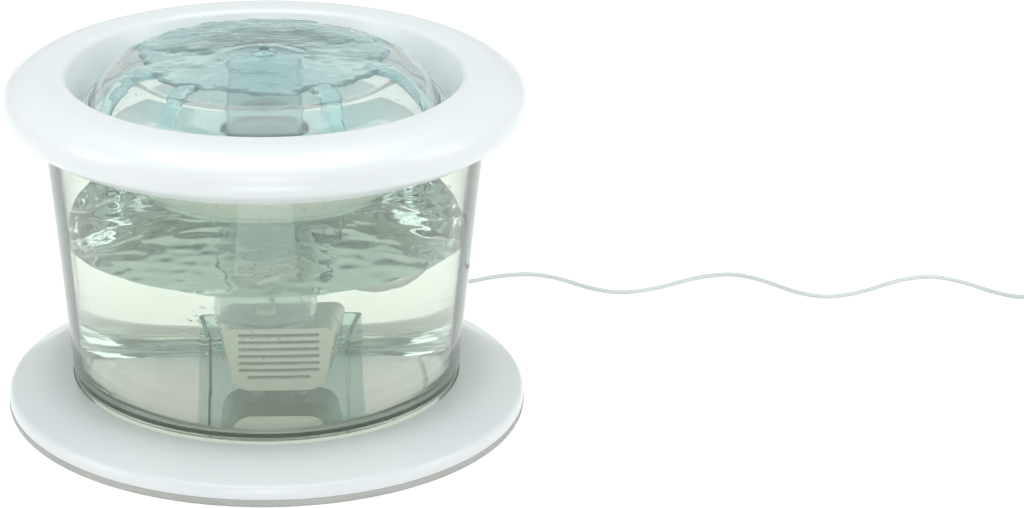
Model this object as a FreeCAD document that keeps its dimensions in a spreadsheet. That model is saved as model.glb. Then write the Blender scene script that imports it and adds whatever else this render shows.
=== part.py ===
import FreeCAD, Part
import Sketcher
import math
import os
import re
from FreeCAD import Placement, Rotation, Vector

# Driving dimensions, in millimetres unless the name says otherwise
SIZES = {
    # Round parts of the vessel
    "base_radius": 149.7,
    "base_top": 20.3,
    "base_wall": 2.6,
    "base_seat_width": 9.5,
    "flange_width": 15.2,
    "flange_top": 9.4,
    "grip_height": 4.4,
    "grip_width": 17.0,
    "grip_proud": 0.3,
    "tongue_inset": 6.7,
    "tongue_width": 4.0,
    "tongue_height": 2.4,
    "groove_gap": 0.3,
    "base_rib_width": 2.0,
    "base_rib_count": 12,
    "tank_foot_level": 8.0,
    "tank_foot_radius": 110.5,
    "tank_rim_level": 190.0,
    "tank_rim_radius": 127.3,
    "tank_wall": 3.0,
    "tank_floor_top": 18.0,
    "tank_corner_round": 20.0,
    "skirt_gap": 0.4,
    "notch_width": 5.0,
    "notch_depth": 6.0,
    # Drinking ring
    "oval_inset": 3.15,
    "oval_middle_level": 185.2,
    "oval_half_width": 24.0,
    "oval_half_height": 15.7,
    "ring_wall": 2.4,
    "ring_tip_round": 11.5,
    "ring_crest_round": 24.0,
    "ring_lip_round": 12.0,
    "ring_lip_gap": 1.3,
    "ring_lean": 8.1,
    "ring_crease_round": 4.5,
    "ledge_level": 177.5,
    "ledge_outside": 104.4,
    "ledge_width": 6.4,
    "ring_rib_reach": 8.3,
    "ring_rib_overhang": 4.2,
    "ring_rib_width": 1.8,
    "ring_rib_count": 10,
    "cord_slot_width": 6.4,
    "cord_slot_depth": 5.6,
    "seat_gap": 0.3,
    # Filter bowl and what lies in it
    "bowl_wall": 2.0,
    "bowl_rim_gap": 0.5,
    "bowl_corner_inset": 10.0,
    "bowl_corner_level": 135.5,
    "bowl_corner_round": 22.0,
    "bowl_centre_level": 130.5,
    "collar_gap": 0.8,
    "collar_foot_level": 113.0,
    "collar_head_level": 140.0,
    "spout_out": 30.0,
    "spout_radius": 14.5,
    "spout_wall": 1.6,
    "spout_foot_level": 105.0,
    "drain_radius": 11.0,
    "foam_gap": 0.5,
    "foam_top": 162.0,
    "cartridge_height": 9.0,
    "cartridge_round": 3.0,
    # Dome and stem
    "dome_rim_gap": 2.6,
    "dome_wall": 2.2,
    "flange_thickness": 1.8,
    "lug_height": 1.5,
    "lug_inset": 1.8,
    "lug_reach": 4.0,
    "lug_width": 6.0,
    "lug_count": 6,
    "dome_lip": 2.3,
    "dome_knee_inset": 7.7,
    "dome_knee_rise": 11.2,
    "dome_knee_round": 15.0,
    "dome_brow_inset": 20.8,
    "dome_brow_rise": 21.6,
    "dome_brow_round": 12.0,
    "dome_rise": 25.5,
    "dome_hole_radius": 7.0,
    "socket_wall": 2.0,
    "socket_depth": 10.0,
    "stem_radius": 21.5,
    "stem_wall": 2.0,
    "stem_top": 202.0,
    # Pump, measured from its shaft
    "shaft_across": 5.5,
    "shaft_back": 4.6,
    "shaft_level": 50.0,
    "pump_up": 13.0,
    "pump_down": 25.0,
    "pump_top_half": 25.6,
    "pump_foot_half": 20.5,
    "pump_top_round": 5.0,
    "pump_foot_round": 9.0,
    "pump_wall": 2.0,
    "housing_depth": 26.0,
    "back_cover_depth": 2.4,
    "well_radius": 8.0,
    "well_wall": 1.4,
    "well_depth": 22.0,
    "chamber_depth": 6.5,
    "cover_depth": 9.1,
    "cover_wall": 1.0,
    "nozzle_radius": 4.2,
    "nozzle_bore": 3.0,
    "nozzle_rise": 20.0,
    "nozzle_gap": 0.4,
    "intake_radius": 5.4,
    "bridge_width": 5.0,
    "intake_collar_radius": 6.6,
    "intake_collar_height": 2.0,
    "dial_gap": 0.1,
    "dial_radius": 9.5,
    "dial_plate": 1.2,
    "dial_window": 4.6,
    "dial_tab": 3.0,
    "grille_depth": 24.0,
    "grille_gap": 0.4,
    "slot_count": 7,
    "slot_pitch": 4.2,
    "slot_height": 2.0,
    "slot_length": 36.0,
    "slot_lowest": -17.5,
    "foam_pad_thickness": 5.0,
    "magnet_radius": 7.2,
    "magnet_length": 17.5,
    "hub_radius": 2.6,
    "blade_gap": 0.7,
    "blade_width": 1.2,
    "blade_height": 4.6,
    "blade_count": 5,
    "shaft_radius": 1.0,
    "shaft_gap": 0.05,
    "bush_radius": 1.9,
    "rear_bush_radius": 3.2,
    "bush_length": 1.6,
    "core_width": 6.0,
    "core_depth": 12.0,
    "core_reach": 17.5,
    "core_foot": 20.0,
    "core_head": 8.0,
    "coil_radius": 4.6,
    "coil_half_length": 8.5,
    "part_gap": 0.3,
    "cup_radius": 6.5,
    "cup_stub_radius": 2.4,
    "cup_spread": 8.0,
    "cup_front": -6.0,
    "cup_rear": -20.0,
    "cradle_half": 31.0,
    "cradle_wall": 2.0,
    "cradle_top": 54.0,
    "cradle_front": 18.0,
    "cradle_back": -36.0,
    "cradle_slot": 10.0,
    "gland_radius": 3.4,
    "gland_tip_radius": 2.2,
    "gland_length": 7.0,
    "gland_drop": 16.0,
    # Cord and adapter
    "cord_radius": 1.3,
    "coil_middle": 14.5,
    "coil_pitch": 3.2,
    "turns_per_layer": 3,
    "coil_turns": 11.75,
    "adapter_width": 30.0,
    "adapter_length": 46.0,
    "adapter_height": 24.0,
    "adapter_round": 4.0,
    "relief_length": 20.0,
    "relief_root_radius": 3.2,
    "relief_tip_radius": 1.9,
    "pin_length": 16.0,
    "pin_width": 6.3,
    "pin_thickness": 1.5,
    "pin_spacing": 12.7,
}

# The shoulder corner of an eighth-by-eighth oval lies this share along its half width
OVAL_SHARE = math.tan(math.radians(22.5))
# Shares of the room beside a corner of the base ring that its roundings take up
SHOULDER_FILL = 0.65
EDGE_FILL = 0.98

# Places that follow from the sizes
FLANGE_INSIDE = "(base_radius - flange_width)"
GRIP_OUTSIDE = "(base_radius + grip_proud)"
GRIP_INSIDE = "(base_radius + grip_proud - grip_width)"
TONGUE_OUTSIDE = "(base_radius - tongue_inset)"
TONGUE_INSIDE = "(base_radius - tongue_inset - tongue_width)"
OVAL_MIDDLE = "(tank_rim_radius - oval_inset)"
RING_LIP = "(tank_rim_radius + ring_lip_gap)"
RING_CREASE = "(ledge_outside + ring_lean)"
LEDGE_INSIDE = "(ledge_outside - ledge_width)"
RIM_FOOT = "(ledge_level + seat_gap)"
BOWL_SIDE = "(ledge_outside - ledge_width - 2*bowl_rim_gap)"
BOWL_CORNER = "(ledge_outside - ledge_width - bowl_corner_inset)"
COLLAR_BORE = "(stem_radius + collar_gap)"
DOME_FOOT = "(ledge_level + 2*seat_gap + bowl_wall + lug_height)"
DOME_EDGE = "(ledge_outside - bowl_rim_gap - dome_rim_gap)"
DOME_SIDE = "(%s - dome_lip)" % DOME_EDGE
DOME_KNEE = "(%s - dome_knee_inset)" % DOME_EDGE
DOME_BROW = "(%s - dome_brow_inset)" % DOME_EDGE
LUG_OUTSIDE = "(%s - lug_inset)" % DOME_EDGE
COVER_RADIUS = "(pump_up - grille_gap - pump_wall - part_gap)"
CHAMBER_RADIUS = "(%s - cover_wall)" % COVER_RADIUS
BLADE_REACH = "(%s - blade_gap)" % CHAMBER_RADIUS
GLAND_FOOT = "(shaft_back + housing_depth + back_cover_depth)"
GLAND_TIP = "(%s + gland_length)" % GLAND_FOOT
GLAND_LEVEL = "(shaft_level - gland_drop)"

doc = FreeCAD.newDocument("PetWaterFountain")
sheet = doc.addObject("Spreadsheet::Sheet", "Dim")
pieces = []


def fill_sheet():
    for row, (name, size) in enumerate(SIZES.items(), start=1):
        sheet.set("A%d" % row, name)
        sheet.set("B%d" % row, str(size))
        sheet.setAlias("B%d" % row, name)
    doc.recompute()


def bound(expression):
    """The expression as another object of the document writes it."""
    def named(word):
        return "Dim." + word.group() if word.group() in SIZES else word.group()
    return re.sub("[a-z][a-z_]*", named, expression)


def value(expression):
    return float(sheet.evalExpression(expression))


# Bodies and sketches

def new_body(label):
    body = doc.addObject("PartDesign::Body", label)
    pieces.append(body)
    return body


def stand_at(body, across, back, level, turn):
    """Sets a body's own frame down at a place, turned about X."""
    place = Vector(value(across), value(back), value(level))
    body.Placement = Placement(place, Rotation(Vector(1, 0, 0), turn))
    for letter, expression in zip("xyz", (across, back, level)):
        body.setExpression("Placement.Base." + letter, bound(expression))


def sketch_on(body, name, role, away="0"):
    plane = next(feature for feature in body.Origin.OriginFeatures if feature.Role == role)
    sketch = body.newObject("Sketcher::SketchObject", name)
    sketch.AttachmentSupport = [(plane, "")]
    sketch.MapMode = "FlatFace"
    sketch.setExpression("AttachmentOffset.Base.z", bound(away))
    return sketch


def pin_point(sketch, element, spot, across, up):
    for kind, expression in (("DistanceX", across), ("DistanceY", up)):
        number = sketch.addConstraint(Sketcher.Constraint(kind, -1, 1, element, spot, value(expression)))
        sketch.setExpression("Constraints[%d]" % number, bound(expression))


def set_radius(sketch, element, expression):
    number = sketch.addConstraint(Sketcher.Constraint("Radius", element, value(expression)))
    sketch.setExpression("Constraints[%d]" % number, bound(expression))


def circle(sketch, across, up, radius):
    centre = Vector(value(across), value(up), 0)
    ring = sketch.addGeometry(Part.Circle(centre, Vector(0, 0, 1), value(radius)))
    pin_point(sketch, ring, 3, across, up)
    set_radius(sketch, ring, radius)


def outline(sketch, corners):
    """A closed outline through corners (across, up) or (across, up, rounding)."""
    spots = [Vector(value(corner[0]), value(corner[1]), 0) for corner in corners]
    count = len(corners)
    legs = [(spots[(i + 1) % count] - spots[i]).normalize() for i in range(count)]
    rounds = [value(corner[2]) if len(corner) > 2 else 0.0 for corner in corners]
    cuts = [rounds[i] * math.tan(legs[i - 1].getAngle(legs[i]) / 2) for i in range(count)]
    lines = []
    for i in range(count):
        after = (i + 1) % count
        run = Part.LineSegment(spots[i] + legs[i] * cuts[i], spots[after] - legs[i] * cuts[after])
        lines.append(sketch.addGeometry(run))
    for i in range(count):
        if rounds[i] == 0.0:
            sketch.addConstraint(Sketcher.Constraint("Coincident", lines[i - 1], 2, lines[i], 1))
            pin_point(sketch, lines[i], 1, corners[i][0], corners[i][1])
        else:
            round_corner(sketch, lines[i - 1], lines[i], spots[i], legs[i - 1], legs[i], cuts[i], corners[i])


def round_corner(sketch, line_in, line_out, spot, leg_in, leg_out, cut, corner):
    left = leg_in.cross(leg_out).z > 0
    side = Vector(-leg_in.y, leg_in.x, 0) * (1 if left else -1)
    centre = spot - leg_in * cut + side * value(corner[2])
    first, last = (spot - leg_in * cut - centre, spot + leg_out * cut - centre)
    if not left:
        first, last = last, first
    rim = Part.Circle(centre, Vector(0, 0, 1), value(corner[2]))
    bend = sketch.addGeometry(Part.ArcOfCircle(rim, math.atan2(first.y, first.x), math.atan2(last.y, last.x)))
    peak = sketch.addGeometry(Part.Point(spot), True)
    sketch.addConstraint(Sketcher.Constraint("Tangent", line_in, 2, bend, 1 if left else 2))
    sketch.addConstraint(Sketcher.Constraint("Tangent", line_out, 1, bend, 2 if left else 1))
    sketch.addConstraint(Sketcher.Constraint("PointOnObject", peak, 1, line_in))
    sketch.addConstraint(Sketcher.Constraint("PointOnObject", peak, 1, line_out))
    pin_point(sketch, peak, 1, corner[0], corner[1])
    set_radius(sketch, bend, corner[2])


# Features

def feature_on(body, kind, name, sketch):
    feature = body.newObject("PartDesign::" + kind, name)
    feature.Profile = sketch
    body.Tip = feature
    return feature


def turned(body, name, corners, kind="Revolution"):
    """The outline turned about the body's own Z axis, to add or to cut."""
    sketch = sketch_on(body, name + "_outline", "XZ_Plane")
    outline(sketch, corners)
    feature = feature_on(body, kind, name, sketch)
    feature.ReferenceAxis = (sketch, ["V_Axis"])
    feature.Angle = 360
    return feature


def padded(body, name, sketch, length, both_ways=False):
    feature = feature_on(body, "Pad", name, sketch)
    feature.SideType = "Symmetric" if both_ways else "One side"
    feature.setExpression("Length", bound(length))
    return feature


def pocketed(body, name, sketch, length, upwards=False, both_ways=False):
    """A pocket cuts against its sketch's normal, or along it when it runs upwards."""
    feature = feature_on(body, "Pocket", name, sketch)
    feature.SideType = "Symmetric" if both_ways else "One side"
    feature.Reversed = upwards
    feature.setExpression("Length", bound(length))
    return feature


def repeated(body, name, feature, count):
    axis = next(item for item in body.Origin.OriginFeatures if item.Role == "Z_Axis")
    pattern = body.newObject("PartDesign::PolarPattern", name)
    pattern.Originals = [feature]
    pattern.Axis = (axis, [""])
    pattern.Angle = 360
    pattern.setExpression("Occurrences", bound(count))
    body.Tip = pattern
    return pattern


# Base

def make_base_ring():
    body = new_body("base_ring")
    share = "%.9f" % OVAL_SHARE
    rise = "(base_top - grip_height)"
    span = "(base_radius - %s - skirt_gap)" % tank_outside("base_top")
    slope = "sqrt(%s^2 + %s^2)" % (rise, span)
    room = "%s*%s*%s" % (share, rise, span)
    shoulder_round = "%.2f*%s/(%s - %s)" % (SHOULDER_FILL, room, slope, span)
    edge_round = "%.2f*%s/(%s - %s)" % (EDGE_FILL, room, slope, rise)
    shoulder = "base_radius - %s*(1 - %s)" % (span, share)
    edge = "grip_height + %s*%s" % (share, rise)
    seat = "(tank_foot_radius - base_seat_width)"
    groove_head = "grip_height + tongue_height + groove_gap"
    bore_foot = "%s + skirt_gap" % tank_outside("tank_foot_level")
    bore_head = "%s + skirt_gap" % tank_outside("base_top")
    turned(body, "base_shell", [
        (seat, "tank_foot_level - base_wall"), (seat, "tank_foot_level"),
        (bore_foot, "tank_foot_level"), (bore_head, "base_top"),
        (shoulder, "base_top", shoulder_round), ("base_radius", edge, edge_round),
        ("base_radius", "grip_height"),
        (TONGUE_OUTSIDE + " + groove_gap", "grip_height"), (TONGUE_OUTSIDE + " + groove_gap", groove_head),
        (TONGUE_INSIDE + " - groove_gap", groove_head), (TONGUE_INSIDE + " - groove_gap", "grip_height"),
        (FLANGE_INSIDE, "grip_height"), (FLANGE_INSIDE, "flange_top"),
        ("base_radius - 1.3*base_wall", "flange_top"), (shoulder, "base_top - base_wall"),
        (bore_head + " + base_wall", "base_top - base_wall"),
        (bore_foot + " + base_wall", "tank_foot_level - base_wall"),
    ])
    rib = sketch_on(body, "rib_outline", "XZ_Plane")
    outline(rib, [
        (bore_foot + " + base_wall/2", "tank_foot_level - base_wall"),
        (FLANGE_INSIDE + " + 1", "tank_foot_level - base_wall"),
        (FLANGE_INSIDE + " + 1", "base_top - 1.9*base_wall"),
        (bore_head + " + base_wall/2", "base_top - base_wall/2"),
    ])
    repeated(body, "ribs", padded(body, "rib", rib, "base_rib_width", True), "base_rib_count")


def make_anti_slip_ring():
    body = new_body("anti_slip_ring")
    turned(body, "strip", [
        (GRIP_INSIDE, "0"), (GRIP_OUTSIDE, "0"), (GRIP_OUTSIDE, "grip_height"),
        (TONGUE_OUTSIDE, "grip_height"), (TONGUE_OUTSIDE, "grip_height + tongue_height"),
        (TONGUE_INSIDE, "grip_height + tongue_height"), (TONGUE_INSIDE, "grip_height"),
        (GRIP_INSIDE, "grip_height"),
    ])


# Tank

def tank_outside(level):
    """Outer radius of the flared tank at a level."""
    flare = "(tank_rim_radius - tank_foot_radius)/(tank_rim_level - tank_foot_level)"
    return "(tank_foot_radius + (%s - tank_foot_level)*%s)" % (level, flare)


def make_tank():
    body = new_body("tank")
    inside_corner = "%s - tank_wall" % tank_outside("tank_floor_top")
    under = "(tank_corner_round + tank_wall)"
    under_middle = "(%s - tank_corner_round)" % inside_corner
    crevice = "(tank_floor_top - tank_wall + %s*(1 - sin(45)) + 0.3)" % under
    under_corner = "(%s + %s*tan(22.5))" % (under_middle, under)
    crevice_run = "(%s + %s - tank_floor_top + tank_wall)" % (under_corner, crevice)
    turned(body, "vessel", [
        ("0", "tank_floor_top - tank_wall"), (under_corner, "tank_floor_top - tank_wall", under),
        (crevice_run, crevice), (tank_outside(crevice) + " - tank_wall", crevice),
        ("tank_foot_radius - tank_wall", "tank_foot_level"), ("tank_foot_radius", "tank_foot_level"),
        ("tank_rim_radius", "tank_rim_level"), ("tank_rim_radius - tank_wall", "tank_rim_level"),
        (inside_corner, "tank_floor_top", "tank_corner_round"), ("0", "tank_floor_top"),
    ])
    notch = sketch_on(body, "notch_outline", "XZ_Plane", "-tank_rim_radius + 2*tank_wall")
    outline(notch, [
        ("-notch_width/2", "tank_rim_level - notch_depth"), ("notch_width/2", "tank_rim_level - notch_depth"),
        ("notch_width/2", "tank_rim_level + 1"), ("-notch_width/2", "tank_rim_level + 1"),
    ])
    pocketed(body, "cord_notch", notch, "4*tank_wall")


def make_rim_grommet():
    """Soft saddle in the tank's notch, with a channel that the cord lies in."""
    body = new_body("rim_grommet")
    inside = "(tank_rim_radius - tank_wall - 1.2)"
    saddle = sketch_on(body, "saddle_outline", "XZ_Plane", "-" + inside)
    foot = "(tank_rim_level - notch_depth + 0.1)"
    half = "(notch_width/2 - 0.1)"
    outline(saddle, [
        ("-" + half, foot), (half, foot), (half, "tank_rim_level - 0.3"),
        ("-" + half, "tank_rim_level - 0.3"),
    ])
    pad = padded(body, "saddle", saddle, "tank_wall + 1.4")
    pad.Reversed = True
    channel = sketch_on(body, "channel_outline", "XZ_Plane", "-%s + 1" % inside)
    outline(channel, [
        ("-cord_radius - 0.1", "tank_rim_level - cord_radius - 1"),
        ("cord_radius + 0.1", "tank_rim_level - cord_radius - 1"),
        ("cord_radius + 0.1", "tank_rim_level + 1"), ("-cord_radius - 0.1", "tank_rim_level + 1"),
    ])
    pocketed(body, "channel", channel, "4*tank_wall")


# Drinking ring

def make_drinking_ring():
    body = new_body("drinking_ring")
    crest = "(oval_middle_level + oval_half_height)"
    belly = "(oval_middle_level - oval_half_height)"
    share = "%.9f" % OVAL_SHARE
    wide = "%s + %s*oval_half_width" % (OVAL_MIDDLE, share)
    tall = "%s*oval_half_height" % share
    tip = OVAL_MIDDLE + " + oval_half_width"
    lean = "ring_lean/(%s - ledge_level)" % crest
    inner_wall = "ledge_outside + (%s - ledge_level)*%s + 1.06*ring_wall"
    inner_foot = inner_wall % ("(ledge_level - ring_wall)", lean)
    inner_head = inner_wall % ("(%s - ring_wall)" % crest, lean)
    turned(body, "channel_ring", [
        (LEDGE_INSIDE, "ledge_level - ring_wall"), (LEDGE_INSIDE, "ledge_level"),
        ("ledge_outside", "ledge_level"), (RING_CREASE, crest, "ring_crease_round"),
        (wide, crest, "ring_crest_round"), (tip, "oval_middle_level + " + tall, "ring_tip_round"),
        (tip, "oval_middle_level - " + tall, "ring_tip_round"), (wide, belly, "ring_lip_round"),
        (RING_LIP, belly), (RING_LIP, belly + " + ring_wall"),
        (wide + " - 0.4*ring_wall", belly + " + ring_wall", "ring_lip_round - ring_wall"),
        (tip + " - ring_wall", "oval_middle_level - 0.9*" + tall, "ring_tip_round - ring_wall"),
        (tip + " - ring_wall", "oval_middle_level + 0.9*" + tall, "ring_tip_round - ring_wall"),
        (wide + " - 0.4*ring_wall", crest + " - ring_wall", "ring_crest_round - ring_wall"),
        (inner_head, crest + " - ring_wall"), (inner_foot, "ledge_level - ring_wall"),
    ])
    rib = sketch_on(body, "rib_outline", "XZ_Plane")
    rib_inside, rib_outside = "tank_rim_radius - ring_rib_reach", "tank_rim_radius + ring_rib_overhang"
    outline(rib, [
        (rib_inside, "tank_rim_level + seat_gap"), (rib_outside, "tank_rim_level + seat_gap"),
        (rib_outside, crest + " - ring_wall/2"), (rib_inside, crest + " - ring_wall/2"),
    ])
    repeated(body, "ribs", padded(body, "rib", rib, "ring_rib_width", True), "ring_rib_count")
    slot = sketch_on(body, "slot_outline", "XY_Plane", belly + " - 1")
    outline(slot, [
        ("-cord_slot_width/2", RING_LIP + " - 1"), ("cord_slot_width/2", RING_LIP + " - 1"),
        ("cord_slot_width/2", RING_LIP + " + cord_slot_depth"),
        ("-cord_slot_width/2", RING_LIP + " + cord_slot_depth"),
    ])
    pocketed(body, "cord_slot", slot, "2*ring_wall + 1", upwards=True)


# Filter bowl and its filling

def make_filter_bowl():
    body = new_body("filter_bowl")
    lean = "(%s - %s)/(%s - bowl_corner_level)" % (BOWL_SIDE, BOWL_CORNER, RIM_FOOT)
    head = "(%s + bowl_wall)" % RIM_FOOT
    turned(body, "bowl_shell", [
        (COLLAR_BORE, "collar_foot_level"), (COLLAR_BORE + " + bowl_wall", "collar_foot_level"),
        (COLLAR_BORE + " + bowl_wall", "bowl_centre_level"),
        (BOWL_CORNER, "bowl_corner_level", "bowl_corner_round"), (BOWL_SIDE, RIM_FOOT),
        ("ledge_outside - bowl_rim_gap", RIM_FOOT), ("ledge_outside - bowl_rim_gap", head),
        (BOWL_SIDE + " - bowl_wall + bowl_wall*" + lean, head),
        (BOWL_CORNER + " - bowl_wall", "bowl_corner_level + bowl_wall", "bowl_corner_round - bowl_wall"),
        (COLLAR_BORE + " + bowl_wall", "bowl_centre_level + bowl_wall"),
        (COLLAR_BORE + " + bowl_wall", "collar_head_level"), (COLLAR_BORE, "collar_head_level"),
    ])
    drain = sketch_on(body, "drain_outline", "XY_Plane", "bowl_centre_level - 4*bowl_wall")
    circle(drain, "spout_out", "-spout_out", "drain_radius")
    pocketed(body, "drain", drain, "8*bowl_wall", upwards=True)


def make_return_spout():
    """Drain cup that hangs under the bowl's hole."""
    body = new_body("return_spout")
    stand_at(body, "spout_out", "-spout_out", "0", 0)
    head = "(bowl_centre_level + 0.2)"
    turned(body, "cup", [
        ("spout_radius - spout_wall - 1.2", "spout_foot_level"), ("spout_radius - 1.2", "spout_foot_level"),
        ("spout_radius", head), ("spout_radius - spout_wall", head),
    ])


def make_foam_filter():
    body = new_body("foam_filter")
    side = BOWL_CORNER + " - bowl_wall - 1.8*foam_gap"
    lean = "(%s - %s)/(%s - bowl_corner_level)" % (BOWL_SIDE, BOWL_CORNER, RIM_FOOT)
    foot = "(bowl_corner_level + bowl_wall + foam_gap)"
    inside = COLLAR_BORE + " + bowl_wall + foam_gap"
    turned(body, "foam", [
        (inside, "bowl_centre_level + bowl_wall + 1.6*foam_gap"),
        (side, foot, "bowl_corner_round - bowl_wall"),
        (side + " + (foam_top - %s)*%s" % (foot, lean), "foam_top"), (inside, "foam_top"),
    ])


def make_carbon_cartridge():
    body = new_body("carbon_cartridge")
    inside = COLLAR_BORE + " + bowl_wall + foam_gap"
    turned(body, "cartridge", [
        (inside, "foam_top"), (BOWL_CORNER, "foam_top", "cartridge_round"),
        (BOWL_CORNER, "foam_top + cartridge_height", "cartridge_round"),
        (inside, "foam_top + cartridge_height"),
    ])


# Dome and stem

def make_water_dome():
    body = new_body("water_dome")
    head = "(%s + flange_thickness)" % DOME_FOOT
    under = "%s - dome_wall" % head
    turned(body, "dome_shell", [
        ("dome_hole_radius", head + " + dome_rise - dome_wall"),
        (DOME_BROW + " - 0.6*dome_wall", under + " + dome_brow_rise", "dome_brow_round - dome_wall"),
        (DOME_KNEE + " - dome_wall", under + " + dome_knee_rise + 0.5", "dome_knee_round - dome_wall"),
        (DOME_SIDE + " - dome_wall", DOME_FOOT), (DOME_EDGE, DOME_FOOT),
        (DOME_EDGE, head), (DOME_SIDE, head),
        (DOME_KNEE, head + " + dome_knee_rise", "dome_knee_round"),
        (DOME_BROW, head + " + dome_brow_rise", "dome_brow_round"),
        ("dome_hole_radius", head + " + dome_rise"),
    ])
    bore = "(stem_radius + part_gap)"
    socket_foot = "stem_top - socket_depth"
    socket_head = head + " + dome_rise - 0.8*dome_wall"
    turned(body, "stem_socket", [
        (bore, socket_foot), (bore + " + socket_wall", socket_foot),
        (bore + " + socket_wall", socket_head + " - 0.6"), (bore, socket_head + " - 0.4"),
    ])
    lug = sketch_on(body, "lug_outline", "XZ_Plane")
    outline(lug, [
        (LUG_OUTSIDE + " - lug_reach", DOME_FOOT + " - lug_height"),
        (LUG_OUTSIDE, DOME_FOOT + " - lug_height"),
        (LUG_OUTSIDE, DOME_FOOT + " + flange_thickness/2"),
        (LUG_OUTSIDE + " - lug_reach + 1.5", DOME_FOOT + " + flange_thickness/2"),
    ])
    repeated(body, "lugs", padded(body, "lug", lug, "lug_width", True), "lug_count")


def make_stem_tube():
    body = new_body("stem_tube")
    foot = "(shaft_level + pump_up)"
    turned(body, "tube", [
        ("nozzle_radius + nozzle_gap", foot), ("stem_radius", foot), ("stem_radius", "stem_top"),
        ("stem_radius - stem_wall", "stem_top"), ("stem_radius - stem_wall", foot + " + stem_wall"),
        ("nozzle_radius + nozzle_gap", foot + " + stem_wall"),
    ])


def make_nozzle_seal():
    body = new_body("nozzle_seal")
    foot = "(shaft_level + pump_up + stem_wall)"
    turned(body, "seal", [
        ("nozzle_radius + 0.05", foot), ("nozzle_radius + 2.4", foot),
        ("nozzle_radius + 2.4", foot + " + 1.6", "0.6"), ("nozzle_radius + 0.05", foot + " + 1.6"),
    ])


# Pump: in each body's own frame X is right, Y is up and Z points to the front

def pump_body(label):
    body = new_body(label)
    stand_at(body, "shaft_across", "shaft_back", "shaft_level", 90)
    return body


def pump_outline(body, name, away, inset):
    sketch = sketch_on(body, name, "XY_Plane", away)
    outline(sketch, [
        ("-pump_foot_half + " + inset, "-pump_down + " + inset, "pump_foot_round"),
        ("pump_foot_half - " + inset, "-pump_down + " + inset, "pump_foot_round"),
        ("pump_top_half - " + inset, "pump_up - " + inset, "pump_top_round - 0.8*min(%s; 4)" % inset),
        ("-pump_top_half + " + inset, "pump_up - " + inset, "pump_top_round - 0.8*min(%s; 4)" % inset),
    ])
    return sketch


def round_sketch(body, name, away, radius):
    sketch = sketch_on(body, name, "XY_Plane", away)
    circle(sketch, "0", "0", radius)
    return sketch


def make_pump_housing():
    body = pump_body("pump_housing")
    padded(body, "case", pump_outline(body, "case_outline", "-housing_depth", "0"), "housing_depth")
    hollow = pump_outline(body, "hollow_outline", "-pump_wall", "pump_wall")
    pocketed(body, "hollow", hollow, "housing_depth")
    well = round_sketch(body, "well_outline", "-well_depth", "well_radius + well_wall")
    padded(body, "well", well, "well_depth")
    bore = round_sketch(body, "bore_outline", "0", "well_radius")
    pocketed(body, "well_bore", bore, "well_depth - well_wall")


def make_pump_back_cover():
    body = pump_body("pump_back_cover")
    back = "-housing_depth - back_cover_depth"
    padded(body, "plate", pump_outline(body, "plate_outline", back, "0"), "back_cover_depth")
    hole = sketch_on(body, "gland_hole", "XY_Plane", "-housing_depth")
    circle(hole, "0", "-gland_drop", "gland_radius - 1")
    pocketed(body, "gland_seat", hole, "back_cover_depth")


def make_cord_gland():
    """Tapered sleeve on the cover, with a spigot in the cover's hole."""
    body = new_body("cord_gland")
    stand_at(body, "shaft_across", GLAND_FOOT, GLAND_LEVEL, -90)
    turned(body, "sleeve", [
        ("0", "-back_cover_depth"), ("gland_radius - 1.05", "-back_cover_depth"),
        ("gland_radius - 1.05", "0"), ("gland_radius", "0"), ("gland_tip_radius", "gland_length"),
        ("0", "gland_length"),
    ])


def make_volute_cover():
    body = pump_body("volute_cover")
    padded(body, "cover", round_sketch(body, "cover_outline", "0", COVER_RADIUS), "cover_depth")
    collar = round_sketch(body, "collar_outline", "cover_depth", "intake_collar_radius")
    padded(body, "intake_collar", collar, "intake_collar_height")
    nozzle = sketch_on(body, "nozzle_outline", "XZ_Plane", "0")
    circle(nozzle, "-shaft_across", "shaft_back", "nozzle_radius")
    tube = padded(body, "nozzle", nozzle, "nozzle_rise")
    tube.Reversed = True
    chamber = round_sketch(body, "chamber_outline", "chamber_depth", CHAMBER_RADIUS)
    pocketed(body, "chamber", chamber, "chamber_depth")
    bore = sketch_on(body, "nozzle_bore_outline", "XZ_Plane", "-nozzle_rise")
    circle(bore, "-shaft_across", "shaft_back", "nozzle_bore")
    cut = pocketed(body, "nozzle_hole", bore, "nozzle_rise - 1")
    cut.Reversed = True
    intake = sketch_on(body, "intake_outline", "XY_Plane", "cover_depth + intake_collar_height")
    circle(intake, "0", "0", "intake_radius")
    pocketed(body, "intake", intake, "cover_depth + intake_collar_height - chamber_depth")
    bridge = sketch_on(body, "bridge_outline", "XY_Plane", "chamber_depth")
    outline(bridge, [
        ("-intake_radius - 0.3", "-bridge_width/2"), ("intake_radius + 0.3", "-bridge_width/2"),
        ("intake_radius + 0.3", "bridge_width/2"), ("-intake_radius - 0.3", "bridge_width/2"),
    ])
    padded(body, "bridge", bridge, "cover_depth - chamber_depth")
    seat = round_sketch(body, "seat_outline", "chamber_depth + bush_length", "bush_radius + 0.05")
    pocketed(body, "bush_seat", seat, "bush_length")


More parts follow.
